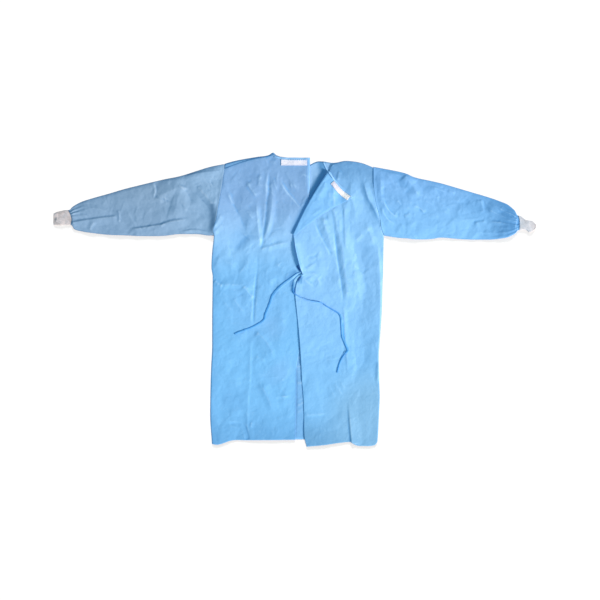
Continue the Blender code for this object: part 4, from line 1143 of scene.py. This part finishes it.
# sleeves
sleeveLeft = {
    "name": "sleeve_left",
    "outward": -1,
    "outline": [  # x, upper, lower, height of the cloth between its edges
        (-288, 541, 256, 4.0), (-341, 530, 256, 4.6), (-393, 514, 262, 5.0), (-457, 494, 262, 5.2),
        (-521, 481, 255, 5.2), (-617, 458, 254, 5.2), (-681, 442, 257, 5.2), (-745, 423, 259, 5.0),
        (-809, 405, 266, 5.0), (-857, 389, 274, 4.8), (-884, 374, 283, 4.6), (-899, 362, 298, 4.2),
    ],
    "seam": [(-896, 299), (-892, 318), (-896, 338), (-906, 358)],
    "gathers": 5,
    "gatherRise": 2.0,
    "creases": [
        (2.6, 4.5, 18, .05, .12, [(-893, 304), (-860, 312), (-800, 321), (-750, 327), (-704, 331)]),
        (1.1, 7, 3, .2, .2, [(-701, 306), (-700, 330), (-704, 362)]),
        (2.6, 4, 20, .12, .2, [
            (-660, 280), (-620, 284), (-570, 292), (-532, 298), (-496, 311), (-420, 321)]),
        (1.2, 5, 5, .3, .3, [(-538, 290), (-528, 298), (-520, 308)]),
        (1.3, 5, 12, .2, .2, [(-509, 316), (-500, 345), (-488, 385), (-476, 426)]),
        (2.6, 12, 30, .2, .08, [(-487, 320), (-478, 350), (-466, 400), (-447, 457)]),
        (-2.8, 4, 50, .2, .15, [(-560, 400), (-551, 432), (-553, 455), (-563, 472)]),
        (4.2, 36, 16, .2, .4, [(-562, 396), (-526, 420), (-472, 446), (-434, 468)]),
        (3.8, 40, 13, .35, .35, [(-394, 460), (-362, 424), (-336, 394), (-308, 352)]),
        (1.1, 14, 20, .3, .3, [(-700, 396), (-650, 404), (-600, 420)]),
        (1.8, 8, 24, .2, .3, [(-862, 342), (-812, 366), (-750, 352), (-700, 344)]),
        (1.8, 9, 6, .2, .3, [(-820, 276), (-810, 296), (-796, 314)]),
        (1.5, 3, 7, .2, .2, [(-456, 271), (-400, 277), (-342, 268)]),
        (-2.0, 14, 14, .2, .4, [(-440, 446), (-420, 412), (-408, 378)]),
        (1.2, 5, 20, .3, .3, [(-672, 364), (-656, 330), (-630, 286)]),
        (2.0, 7, 26, .2, .2, [(-446, 494), (-400, 504), (-360, 511), (-320, 516), (-286, 521)]),
        (1.0, 6, 8, .3, .3, [(-664, 256), (-655, 268), (-644, 282)]),
        (1.6, 4, 9, .2, .3, [(-892, 343), (-876, 345), (-856, 348)]),
        (0.8, 18, 14, .3, .3, [(-640, 330), (-610, 352), (-584, 390)]),
        (0.8, 12, 16, .3, .3, [(-760, 300), (-744, 280), (-720, 270)]),
    ],
    "facets": [(50, 1.7, 51, (0.8, 1.0)), (25, 1.1, 52, (0.9, 1.0)), (13, 0.4, 54, (1.0, 1.0))],
    "shades": [
        (0.85, 12, 12, .05, .3, [(-327, 250), (-327, 300), (-327, 340), (-330, 385)][::-1]),
        (0.22, 14, 8, .3, .2, [(-430, 466), (-408, 430), (-380, 400)]),
        (0.25, 6, 12, .2, .3, [(-552, 434), (-545, 462), (-500, 470)]),
        (0.5, 2.5, 2.5, .1, .1, [(-440, 496), (-400, 504), (-360, 511), (-320, 515), (-292, 519)]),
        (0.2, 2.4, 2.4, .1, .3, [(-893, 309), (-850, 316), (-800, 325), (-750, 331), (-708, 334)]),
        (0.2, 2.4, 2.4, .1, .3, [
            (-655, 286), (-600, 291), (-560, 297), (-520, 305), (-480, 316), (-425, 325)]),
        (0.35, 3, 3, .3, .2, [(-706, 304), (-705, 330), (-709, 358)]),
    ],
    "upperRoll": [(-899, 34), (-840, 44), (-760, 42), (-640, 30), (-500, 24), (-288, 20)],
    "look": "sleeveLeft",
    "seed": 53,
    "heading": 130,
}
sleeveRight = {
    "name": "sleeve_right",
    "outward": 1,
    "outline": [
        (314, 531, 256, 4.0), (363, 522, 246, 4.6), (423, 510, 240, 5.0), (448, 503, 240, 5.1),
        (474, 491, 239, 5.2), (551, 473, 243, 5.2), (585, 465, 248, 5.2), (647, 447, 243, 5.2),
        (711, 428, 240, 5.0), (775, 409, 240, 5.0), (823, 392, 244, 4.8), (853, 379, 250, 4.8),
        (878, 358, 262, 4.6), (897, 338, 277, 4.2),
    ],
    "seam": [(897, 278), (899, 296), (898, 318), (894, 336)],
    "gathers": 7,
    "gatherRise": 2.6,
    "creases": [
        (3.4, 14, 24, .12, .25, [(434, 496), (464, 461), (484, 433), (496, 406)]),
        (2.0, 3, 16, .2, .3, [(352, 404), (364, 372), (392, 340), (424, 331)]),
        (1.7, 3, 14, .2, .3, [(347, 374), (354, 345), (374, 318), (404, 302)]),
        (1.2, 3, 12, .3, .3, [(434, 333), (450, 338), (464, 350)]),
        (1.2, 3, 10, .3, .3, [(411, 402), (416, 390), (426, 376)]),
        (0.9, 4, 14, .2, .3, [(560, 396), (600, 372), (622, 350)]),
        (0.8, 8, 16, .2, .3, [(648, 326), (656, 352), (676, 372)]),
        (1.6, 3, 14, .2, .3, [(520, 344), (500, 366), (470, 372)]),
        (0.7, 8, 12, .2, .3, [(404, 262), (426, 292), (446, 306)]),
        (1.3, 3, 10, .3, .3, [(540, 452), (580, 440), (616, 424)]),
        (1.4, 5, 9, .3, .3, [(610, 437), (626, 431), (644, 423)]),
        (2.0, 16, 6, .2, .2, [(757, 346), (748, 372), (744, 404)]),
        (1.6, 4, 12, .2, .3, [(712, 303), (738, 309), (766, 314)]),
        (2.6, 6, 14, .3, .05, [(766, 312), (830, 305), (888, 296)]),
        (2.8, 8, 12, .3, .05, [(750, 374), (800, 346), (858, 322), (893, 312)]),
        (2.6, 8, 12, .3, .05, [(768, 393), (815, 366), (868, 338), (893, 324)]),
        (2.2, 8, 10, .3, .05, [(800, 400), (848, 372), (890, 336)]),
        (1.8, 8, 10, .3, .05, [(808, 260), (858, 272), (892, 286)]),
        (1.7, 7, 10, .3, .05, [(792, 284), (850, 286), (894, 290)]),
        (1.8, 10, 8, .15, .3, [(347, 378), (346, 410), (345, 440), (342, 508)]),
        (0.5, 6, 16, .3, .3, [(436, 288), (466, 306), (490, 332)]),
        (0.8, 5, 14, .3, .3, [(600, 286), (640, 322), (690, 336)]),
        (0.8, 5, 12, .3, .3, [(500, 400), (540, 384), (572, 356)]),
        (0.7, 5, 14, .3, .3, [(640, 380), (680, 362), (706, 330)]),
        (1.8, 8, 24, .2, .2, [(352, 505), (400, 499), (450, 488), (500, 470)]),
    ],
    "facets": [(48, 1.5, 61, (0.8, 1.0)), (25, 1.2, 62, (0.9, 1.0)), (13, 0.45, 64, (1.0, 1.0))],
    "shades": [
        (0.35, 2.5, 2.5, .1, .1, [(352, 513), (400, 506), (450, 494)]),
        (0.38, 13, 13, .3, .4, [(384, 502), (424, 474), (452, 448), (488, 408)]),
        (0.22, 10, 12, .3, .3, [(500, 452), (560, 440), (610, 424)]),
        (0.34, 40, 40, .3, .3, [(650, 410), (720, 370), (800, 330)]),
        (0.2, 3, 3, .2, .2, [(712, 303), (738, 309), (766, 314)]),
    ],
    "upperRoll": [(314, 24), (423, 34), (600, 30), (740, 36), (830, 44), (897, 34)],
    "look": "sleeveRight",
    "seed": 63,
    "heading": 20,
}
bothSleeves = {
    "sections": 236,
    "under": (34, 0.7),  # points across, and how far they are drawn to the edges
    "over": (92, 0.55),
    "facetSpan": (220, 560),
    "wrinkles": (235, 530, 190),
    "swell": (130, 1.8, 71.0),
    "edge": 1.1,
    "floor": 0.5,
    "underRoll": 3.0,
    "lowerRoll": 4.0,
    "lowest": 2.0,
    "cuffEnd": 3.6,
    "length": 620,
}


def tubeShares(under, over):
    # shares of the width of a flat tube, along its underside and then back over it, and which lie on top
    shares = np.concatenate([under, over[::-1][1:-1]])[None, :]
    return shares, np.arange(shares.size)[None, :] >= len(under)


def seamEnds(seam, f):
    # the places on a sleeve's end seam at shares f of its length
    ends = np.array([along(seam, share) for share in f[0]])
    return ends[None, :, 0], ends[None, :, 1]


def makeSleeve(sleeve, armholeOf, liftPairs):
    upper, lower, height = (column(sleeve["outline"], i) for i in (1, 2, 3))
    outward = sleeve["outward"]
    f, isOver = tubeShares(eased(*bothSleeves["under"]), eased(*bothSleeves["over"]))
    # closer sections at both ends
    section = np.linspace(0, 1, bothSleeves["sections"])[:, None]
    section = section - 0.012 * np.sin(section * math.pi * 6) * (section < 1 / 6)
    section = section + 0.012 * np.sin((1 - section) * math.pi * 6) * (section > 5 / 6)
    startY = lerp(gown["armpit"], sleeve["outline"][0][1], f)
    startX = armholeOf(startY) + outward * gown["seamGap"]
    endX, endY = seamEnds(sleeve["seam"], f)
    x = lerp(startX, endX, section)
    y = lerp(read(lower, x), read(upper, x), f)
    atStart = lerp(read(lower, startX), read(upper, startX), f)
    y = y + smooth(1 - section / 0.35) * (startY - atStart)
    y = lerp(y, endY, smooth(1 - (1 - section) / 0.025))
    # creases, facets and wrinkles
    size, rise, seed = bothSleeves["swell"]
    relief = creaseHeight(x, y, sleeve["creases"]) + swell(x, y, size, rise, seed + outward)
    low, high = bothSleeves["facetSpan"]
    relief += facetHeight(x, y, sleeve["facets"], (min(x.min(), 0), low), (max(x.max(), 0), high))
    low, high, count = bothSleeves["wrinkles"]
    rows = smallWrinkles((x.min(), low), (x.max(), high), count, sleeve["seed"], sleeve["heading"])
    relief += creaseHeight(x, y, rows) + swell(x, y, *fineSwell, 77.0)
    # gathers above the cuff
    pull = smooth(1 - np.abs(x - sleeve["seam"][1][0]) / (80.0 + 30.0 * np.sin(f * 17)))
    pull = pull * (0.3 + 0.7 * smooth(f / 0.7))
    wave = 0.5 - 0.5 * np.cos(2 * math.pi * (sleeve["gathers"] + 0.35) * f + 1.8 * np.sin(f * 9))
    relief += sleeve["gatherRise"] * pull * wave * smooth((1 - section) / 0.004)
    # the top, from the armhole seam to the cuff
    lift = read(liftPairs, startY) * np.exp(-section * bothSleeves["length"] / 32)
    top = lerp(gown["seamTop"], read(height, x), smooth(section / 0.06))
    top = top + relief * smooth(section / 0.03) + lift
    top = lerp(top, bothSleeves["cuffEnd"] + 0.9 * wave, smooth(1 - (1 - section) / 0.012))
    top = soften(np.maximum(top, bothSleeves["lowest"]), 1, share=0.3)
    # both faces meet at the edges of the flat tube
    width = read(upper, x) - read(lower, x)
    fromLow, fromHigh = f * width, (1 - f) * width
    middle = bothSleeves["edge"] + 0.25 * lift
    lowRoll = np.minimum(bothSleeves["lowerRoll"], width * 0.3)
    highRoll = np.minimum(read(sleeve["upperRoll"], x), width * 0.45)
    across = rollOff(fromLow, lowRoll) * rollOff(fromHigh, highRoll)
    zOver = middle + (top - middle) * across
    roll = bothSleeves["underRoll"]
    zUnder = middle - (middle - bothSleeves["floor"]) * rollOff(fromLow, roll) * rollOff(fromHigh, roll)
    z = np.where(isOver, zOver, zUnder)
    # painted shade in a band along the upper edge, on the lower edge and over the underside, and along the
    # listed lines
    paintedShadeAndInside = 0.42 * smooth(1 - fromHigh / 16) * smooth(section / 0.05) + smooth(1 - fromLow / 5)
    paintedShadeAndInside = np.where(isOver, paintedShadeAndInside + shading(x, y, sleeve["shades"]), 0.3)
    tone = np.where(isOver, foldTone(zOver) * across, 0.0)
    piece = sheetMesh(sleeve["name"] + "_cloth", np.stack([x, y, z], axis=-1), tone, paintedShadeAndInside, closed=True)
    thicken(piece, gown["thinWall"])
    return finishPiece(piece, cloths[sleeve["look"]], "cloth", sleeve["name"])


front = makeFront()
backLeft = makeLeftBack()
backRight = makeRightBack()
print("panels made")
armLeft = makeSleeve(sleeveLeft, leftSide, leftBack["armholeLift"])
armRight = makeSleeve(sleeveRight, rightArmhole, rightBack["armholeLift"])
print("sleeves made")

# knitted cuffs
cuffLeft = {
    "name": "cuff_left",
    "outward": -1,
    "outline": [(-893, 357, 299), (-906, 357, 299), (-925, 354, 299), (-945, 351, 298), (-964, 344, 298)],
    "seam": sleeveLeft["seam"],
    "height": [(0, 4.4), (0.15, 5.6), (0.5, 5.8), (0.85, 5.2), (1, 3.8)],
    "crumple": 0.8,
    "creases": [(1.6, 8, 8, .2, .3, [(-958, 322), (-940, 316), (-920, 300)]),
                (-1.2, 7, 7, .2, .2, [(-950, 340), (-930, 336), (-914, 345)])],
    # greyer and darker than the right cuff's colours: painted shade of the gown's darker left side
    "color": (0.66, 0.65, 0.68),
    "shade": (0.50, 0.48, 0.49),
    "seed": 81,
}
cuffRight = {
    "name": "cuff_right",
    "outward": 1,
    "outline": [
        (900, 330, 278), (912, 323, 281), (927, 318, 278), (941, 316, 269), (953, 313, 275), (964, 301, 286),
    ],
    "seam": sleeveRight["seam"],
    "height": [(0, 4.4), (0.2, 5.6), (0.5, 6.4), (0.8, 6.0), (1, 3.6)],
    "crumple": 0.5,
    "creases": [(0.7, 6, 8, .2, .3, [(904, 300), (920, 298), (936, 304), (950, 300)]),
                (0.5, 6, 6, .2, .2, [(910, 288), (926, 290), (944, 280)])],
    "color": (0.84, 0.89, 0.97),
    "shade": (0.72, 0.75, 0.80),
    "seed": 82,
}
bothCuffs = {
    "under": 90,
    "over": 190,
    "sections": 46,
    "width": 58.0,  # of the cloth that the tube is knitted from, which sets the size of its loops
    "length": 68.0,
    "edge": 1.5,
    "floor": 0.75,
    "lowest": 2.6,
    "ribPitch": 2.6,
    "ribRise": 0.28,
    "wall": 0.6,
    "knitPitch": 0.0026,
    "loopPitch": 0.0012,
}


def knitMaterial(name, cuff):
    # ribs of small loops: the loops follow the map of the tube, round it and along it
    s = Shader(name, roughness=0.9, sheen=0.25, specular=0.15)
    uv = s.node("ShaderNodeUVMap", {"uv_map": "UVMap"}, {})
    parts = s.node("ShaderNodeSeparateXYZ", {}, {"Vector": uv}, "X")
    lengthways = s.node("ShaderNodeSeparateXYZ", {}, {"Vector": uv}, "Y")
    pitch = bothCuffs["knitPitch"]
    ribs = (parts * (2 * math.pi / pitch)).maths("SINE")
    slant = (parts * (math.pi / pitch)).maths("SINE") * 1.6
    loops = (lengthways * (2 * math.pi / bothCuffs["loopPitch"]) + slant).maths("SINE")
    fuzz = s.noise(1400.0, 2.0)
    # random darker blotches
    blotches = s.noise(30.0, 2.0)
    color = s.mix(blotches.ramp(0.42, 0.62), rgba(cuff["color"]), rgba(cuff["shade"]))
    # darker in the hollows between the ribs: painted shade
    color = s.mix((1 - ribs.ramp(-0.7, 0.5)) * 0.55, color, rgba(cuff["shade"], 0.72))
    color = s.mix(fuzz.ramp(0.5, 0.8) * 0.3, color, rgba((0.85, 0.86, 0.9)))
    s.feed("Base Color", color)
    s.bump(ribs * 0.5 + loops * 0.25 + fuzz * 0.3, distance=0.0006, strength=0.8)
    return s.material


def makeCuff(cuff):
    upper, lower = column(cuff["outline"], 1), column(cuff["outline"], 2)
    first, last = cuff["outline"][0][0], cuff["outline"][-1][0]
    f, isOver = tubeShares(eased(bothCuffs["under"], 0), eased(bothCuffs["over"], 0))
    section = np.linspace(0, 1, bothCuffs["sections"])[:, None]
    endX, endY = seamEnds(cuff["seam"], f)
    x = lerp(endX + cuff["outward"] * gown["seamGap"], last, section)
    at = lerp(first, last, section)
    y = lerp(lerp(read(lower, at), read(upper, at), f), endY, smooth(1 - section / 0.5))
    fromEdge = np.minimum(f, 1 - f) * (read(upper, at) - read(lower, at))
    top = read(cuff["height"], section) + creaseHeight(x, y, cuff["creases"])
    top = top + swell(x, y, 14, cuff["crumple"], cuff["seed"])
    x = x + cuff["outward"] * cuff["crumple"] * smooth(section) * swell(x, y, 9, 1.0, cuff["seed"] + 0.5)
    around = np.concatenate([[0], np.cumsum(np.abs(np.diff(f[0])))])[None, :] * bothCuffs["width"]
    rib = bothCuffs["ribRise"] * np.sin(2 * math.pi * around / bothCuffs["ribPitch"])
    middle = bothCuffs["edge"]
    zOver = middle + (np.maximum(top, bothCuffs["lowest"]) - middle) * rollOff(fromEdge, 5.0) + rib
    zUnder = middle - (middle - bothCuffs["floor"]) * rollOff(fromEdge, 2.0) - 0.3 * np.abs(rib)
    z = np.where(isOver, zOver, zUnder)
    uv = np.stack(np.broadcast_arrays(around, section * bothCuffs["length"]), axis=-1) * mm
    piece = sheetMesh(cuff["name"] + "_knit", np.stack([x, y, z], axis=-1), closed=True, uv=uv)
    thicken(piece, bothCuffs["wall"])
    return finishPiece(piece, knitMaterial(cuff["name"] + "Knit", cuff), "knit", cuff["name"])


cuffPieces = [makeCuff(cuffLeft), makeCuff(cuffRight)]
print("cuffs made")

# tapes and bindings
cloth = surfaceOf([front, backLeft, backRight, armLeft, armRight])


def acrossLine(line, count, lean=0.0):
    # points across a line whose columns are x, y and width; a lean in degrees narrows what they cover
    run = np.gradient(line[:, :2], axis=0)
    run /= np.linalg.norm(run, axis=1)[:, None]
    side = np.stack([run[:, 1], -run[:, 0]], axis=1)
    half = line[:, 2:3] / 2
    mark = np.linspace(-1, 1, count)[None, :]
    flat = np.cos(np.radians(lean))
    return line[:, :1] + side[:, :1] * half * flat * mark, line[:, 1:2] + side[:, 1:] * half * flat * mark


def stripGrid(route, across, clear, step):
    # points of a flat strip laid along its route on the cloth under it
    x, y = acrossLine(spaced(lineThrough(route), step), across)
    return x, y, soften(heights(cloth, x, y, 1.0), 2) + clear


def napMaterial(name, color, hooked):
    # a fuzzy face; on the loop tape blue thread loops over its upper edge
    s = Shader(name, roughness=0.85, sheen=0.35, specular=0.2)
    fuzz = s.noise(900.0, 4.0)
    rows = (s.along("X") * 3400.0).maths("SINE") * (s.along("Y") * 3400.0).maths("SINE")
    body = s.mix(fuzz.ramp(0.35, 0.7), rgba(color, 0.92), rgba(color))
    body = s.mix((1 - s.noise(160.0, 3.0).ramp(0.26, 0.40)) * 0.5, body, rgba((0.42, 0.50, 0.68)))
    # on the hook tape the lower end turns white: painted light against the shade where it slopes down
    if hooked:
        body = s.mix(s.along("Y").ramp(0.425, 0.450), rgba((1.0, 1.0, 1.0)), body)
    else:
        scallop = s.along("Y") + (s.along("X") * (2 * math.pi / tapeMake["scallop"])).maths("SINE") * 0.0030
        ragged = scallop.ramp(0.5578, 0.5588) * s.along("X").ramp(-0.034, -0.022)
        body = s.mix(ragged, body, rgba((0.22, 0.50, 0.86)))
    s.feed("Base Color", body)
    s.bump(fuzz + rows * (0.6 if hooked else 0.2), distance=0.0006, strength=0.8)
    return s.material


tapes = {
    "loop": {
        "node": "loop_tape", "route": [(-55, 549, 25), (-3, 549, 25), (49, 549, 25)], "across": 25,
        "color": (0.84, 0.87, 1.0), "hooked": False,
    },
    "hook": {
        "node": "hook_tape", "route": [(150, 467, 18), (171, 443, 19), (193, 422, 20), (216, 405, 20)],
        "across": 20, "color": (0.76, 0.79, 0.94), "hooked": True,
    },
}
tapeMake = {
    "clear": 1.4,
    "wall": 0.9,
    "step": 1.1,
    "scallop": 0.0086,  # metres from one thread loop to the next
}
bindings = {
    "left": {
        "node": "neck_binding_left", "shaded": 0,
        "route": [(-82, 572, 5), (-56, 566, 5), (0, 565, 5), (57, 564, 5)],
    },
    "right": {
        "node": "neck_binding_right", "shaded": 0.46,  # share of its length with a shadow line inside
        "route": [
            (115, 549, 5), (126, 524, 7), (139, 501, 8), (156, 480, 7), (181, 454, 2.6), (204, 432, 2.4),
            (227, 411, 2.4),
        ],
    },
}
bindingMake = {
    "across": 9,
    "clear": 0.9,
    "wall": 0.5,
    "step": 2.0,
    "round": 0.7,
}


def makeTape(tape):
    x, y, z = stripGrid(tape["route"], tape["across"], tapeMake["clear"], tapeMake["step"])
    z = np.maximum(z, soften(z, 60))  # stiffer than the cloth, so it bridges small hollows
    z = z + swell(x, y, 1.6, 0.10, 91.0) + swell(x, y, 24, 0.2, 93.0)
    piece = sheetMesh(tape["node"] + "_pile", np.stack([x, y, z], axis=-1))
    thicken(piece, tapeMake["wall"])
    nap = napMaterial(tape["node"] + "Nap", tape["color"], tape["hooked"])
    return finishPiece(piece, nap, "tape", tape["node"])


def makeBinding(binding):
    x, y, z = stripGrid(binding["route"], bindingMake["across"], bindingMake["clear"], bindingMake["step"])
    t = np.linspace(-1, 1, bindingMake["across"])[None, :]
    z = z + bindingMake["round"] * np.sqrt(1 - 0.9 * t * t) - 0.5 + swell(x, y, 12, 0.25, 95.0)
    share = np.linspace(0, 1, len(x))[:, None]
    # a painted shadow line along the inner side of its first stretch, and a tone paler in the middle and
    # darker at its edges, painted highlight and shade on its round
    innerShade = 0.9 * smooth((t - 0.05) / 0.4) * smooth((binding["shaded"] - share) / 0.08) * smooth(share / 0.12)
    piece = sheetMesh(binding["node"] + "_fold", np.stack([x, y, z], axis=-1), 0.4 - 0.5 * t * t, innerShade)
    thicken(piece, bindingMake["wall"])
    return finishPiece(piece, cloths["binding"], "binding", binding["node"])


tapePieces = [makeTape(tape) for tape in tapes.values()]
bindingPieces = [makeBinding(binding) for binding in bindings.values()]
print("tapes and bindings made")

# waist ties
ties = {
    "left": {
        "node": "tie_left",
        "route": [  # x, y, width, lean, shade: a lean of 0 lies flat and 90 stands on its edge
            (26, 110, 4, 20, .1), (10, 103, 7, 7, .1), (-4, 92.5, 9, 7, .1), (-20, 80, 11, 7, .2),
            (-50, 57, 12, 6, .3), (-73, 36, 11, 5, .4), (-88, 16, 10, 8, .5), (-101, -20, 9, 9, .5),
            (-116, -56, 9, 9, .5), (-124, -81, 8, 9, .5), (-160, -106, 8, 8, .4), (-200, -122, 8, 8, .35),
            (-239, -137, 7, 8, .35),
        ],
    },
    "right": {
        "node": "tie_right",
        "route": [
            (38, 99, 4, 0, 0), (24, 98, 7, 4, 0), (10, 88, 9, 4, 0), (0, 74, 10, 4, 0),
            (-4, 57, 10, 12, .2), (-8, 40, 9, 28, .5), (-4, 27, 8, 45, .5), (20, 11, 6, 55, .2),
            (55, -4, 6, 55, .2), (85, -10, 6, 55, .3), (108, -14, 6, 55, .45), (126, -26, 7, 55, .6),
            (153, -42, 7, 50, .6), (175, -55, 8, 40, .5), (186, -73, 11, 10, .2), (189, -104, 11, 0, .1),
            (193, -150, 11, 0, .1), (212, -202, 9, 10, .4), (200, -216, 6, 20, .5), (189, -232, 6, 16, .5),
            (178, -257, 6, 14, .5), (169, -292, 5, 12, .5),
        ],
    },
    "wall": 0.8,
    "across": 9,
    "step": 2.5,
    "clear": 0.35,
    "curl": 0.5,
    "sway": (13, 0.7, 101.0),
}


def makeTie(tie, tree):
    line = spaced(lineThrough(tie["route"], 3.0), ties["step"])
    half, lean, shade = line[:, 2:3] / 2, line[:, 3:4], line[:, 4:5]
    x, y = acrossLine(line, ties["across"], lean)
    mark = np.linspace(-1, 1, ties["across"])[None, :]
    ground = heights(tree, x, y, 2.0)
    ground = lerp(ground, ground.max(1, keepdims=True), smooth(lean / 15))
    ground = np.maximum(ground, soften(ground, 3))
    z = soften(ground, 2) + ties["clear"] + ties["wall"] + half * np.sin(np.radians(lean)) * (1 - mark)
    z = z + (ties["curl"] * (1 - mark**2) + swell(x, y, *ties["sway"]))
    # painted shade along its lower side, and along both edges where it lies flat
    side = lerp(mark, np.abs(mark), smooth(1 - lean / 6))
    shade = np.maximum(shade, 0.8 * smooth((side - 0.25) / 0.4) * smooth(shade / 0.1))
    piece = sheetMesh(tie["node"] + "_strip", np.stack([x, y, z], axis=-1), foldTone(z), shade)
    thicken(piece, ties["wall"])
    finishPiece(piece, cloths["tie"], "tie", tie["node"])
    return piece


tieLeft = makeTie(ties["left"], cloth)
makeTie(ties["right"], surfaceOf([front, backLeft, backRight, tieLeft]))
print("ties made")

# sewing: one short thread, copied along each seam
stitch = {
    "pitch": 4.6,
    "share": 0.7,  # of the pitch that a thread covers
    "thick": 0.5,
    "zigzagThick": 1.5,
    "sides": 5,
    "rings": [  # place, size, rise
        (-0.5, 0.35, -0.12), (-0.3, 1.0, 0.12), (0.3, 1.0, 0.12), (0.5, 0.35, -0.12),
    ],
}


def threadMaterial():
    s = Shader("sewingThread", roughness=0.6, sheen=0.1, specular=0.4)
    s.feed("Base Color", s.mix(s.noise(900.0), rgba((0.10, 0.28, 0.55)), rgba((0.16, 0.38, 0.68))))
    return s.material


def addThread(build, middle, way, length, thick):
    # a short round thread that dips into the cloth at both ends
    turns = np.arange(stitch["sides"]) * 2 * math.pi / stitch["sides"]
    rings = []
    for place, size, rise in stitch["rings"]:
        spot = middle[:2] + way[:2] * length * place
        high = surfaceHeight(dressed, *spot) + rise
        ring = []
        for turn in turns:
            across, up = (thick * size * part(turn) / 2 for part in (math.cos, math.sin))
            corner = Vector((spot[0] - way[1] * across, spot[1] + way[0] * across, high + up))
            ring.append(build.verts.new(corner * mm))
        rings.append(ring)
    for low, top in zip(rings, rings[1:]):
        for i in range(len(turns)):
            after = (i + 1) % len(turns)
            build.faces.new([low[i], low[after], top[after], top[i]])
    build.faces.new(rings[0][::-1])
    build.faces.new(rings[-1])


def makeStitches(name, paths, material, thick):
    build = bmesh.new()
    for points in paths:
        line = np.array(points, float) if len(points) > 20 else spaced(lineThrough(points), stitch["pitch"])
        length = stitch["share"] * np.linalg.norm(line[1] - line[0])
        for a, b in zip(line[:-1], line[1:]):
            middle, way = (a + b) / 2, (b - a) / np.linalg.norm((b - a)[:2])
            ends = [middle[:2] + way[:2] * length * place for place in (-0.5, 0.5)]
            if min(surfaceHeight(dressed, *end) for end in ends) > 0:
                addThread(build, middle, way, length, thick)
    bmesh.ops.recalc_face_normals(build, faces=build.faces)
    mesh = bpy.data.meshes.new(name)
    build.to_mesh(mesh)
    build.free()
    mesh.shade_smooth()
    piece = bpy.data.objects.new(name, mesh)
    bpy.context.scene.collection.objects.link(piece)
    return finishPiece(piece, material, "binding")


dressed = surfaceOf([front, backLeft, backRight, armLeft, armRight, *tapePieces, *bindingPieces, *cuffPieces])
fromSeam = 4.5
armY = np.linspace(268, 515, 12)
zigzag = [(x, 561.5 if i % 2 else 557.0) for i, x in enumerate(np.arange(-52, 48, 3.6))]
seams = {
    "armhole_stitches_left": [[(float(leftSide(v)) + fromSeam, float(v)) for v in armY]],
    "armhole_stitches_right": [[(float(rightArmhole(v)) - fromSeam, float(v)) for v in armY]],
    "loop_tape_stitches": [
        [(-53, 539.5), (47, 539.5)], [(-53, 541), (-53, 557)], [(47, 541), (47, 557)],
    ],
    "hook_tape_stitches": [
        [(145, 462.5), (166, 438.5), (188, 417.5), (210, 400)],
        [(156, 471), (176, 448), (198, 427), (219, 410)],
    ],
}
thread = threadMaterial()
stitchPieces = [makeStitches(name, paths, thread, stitch["thick"]) for name, paths in seams.items()]
stitchPieces.append(makeStitches("loop_tape_zigzag", [zigzag], cloths["tie"], stitch["zigzagThick"]))
print("sewing made")

print("gown finished")
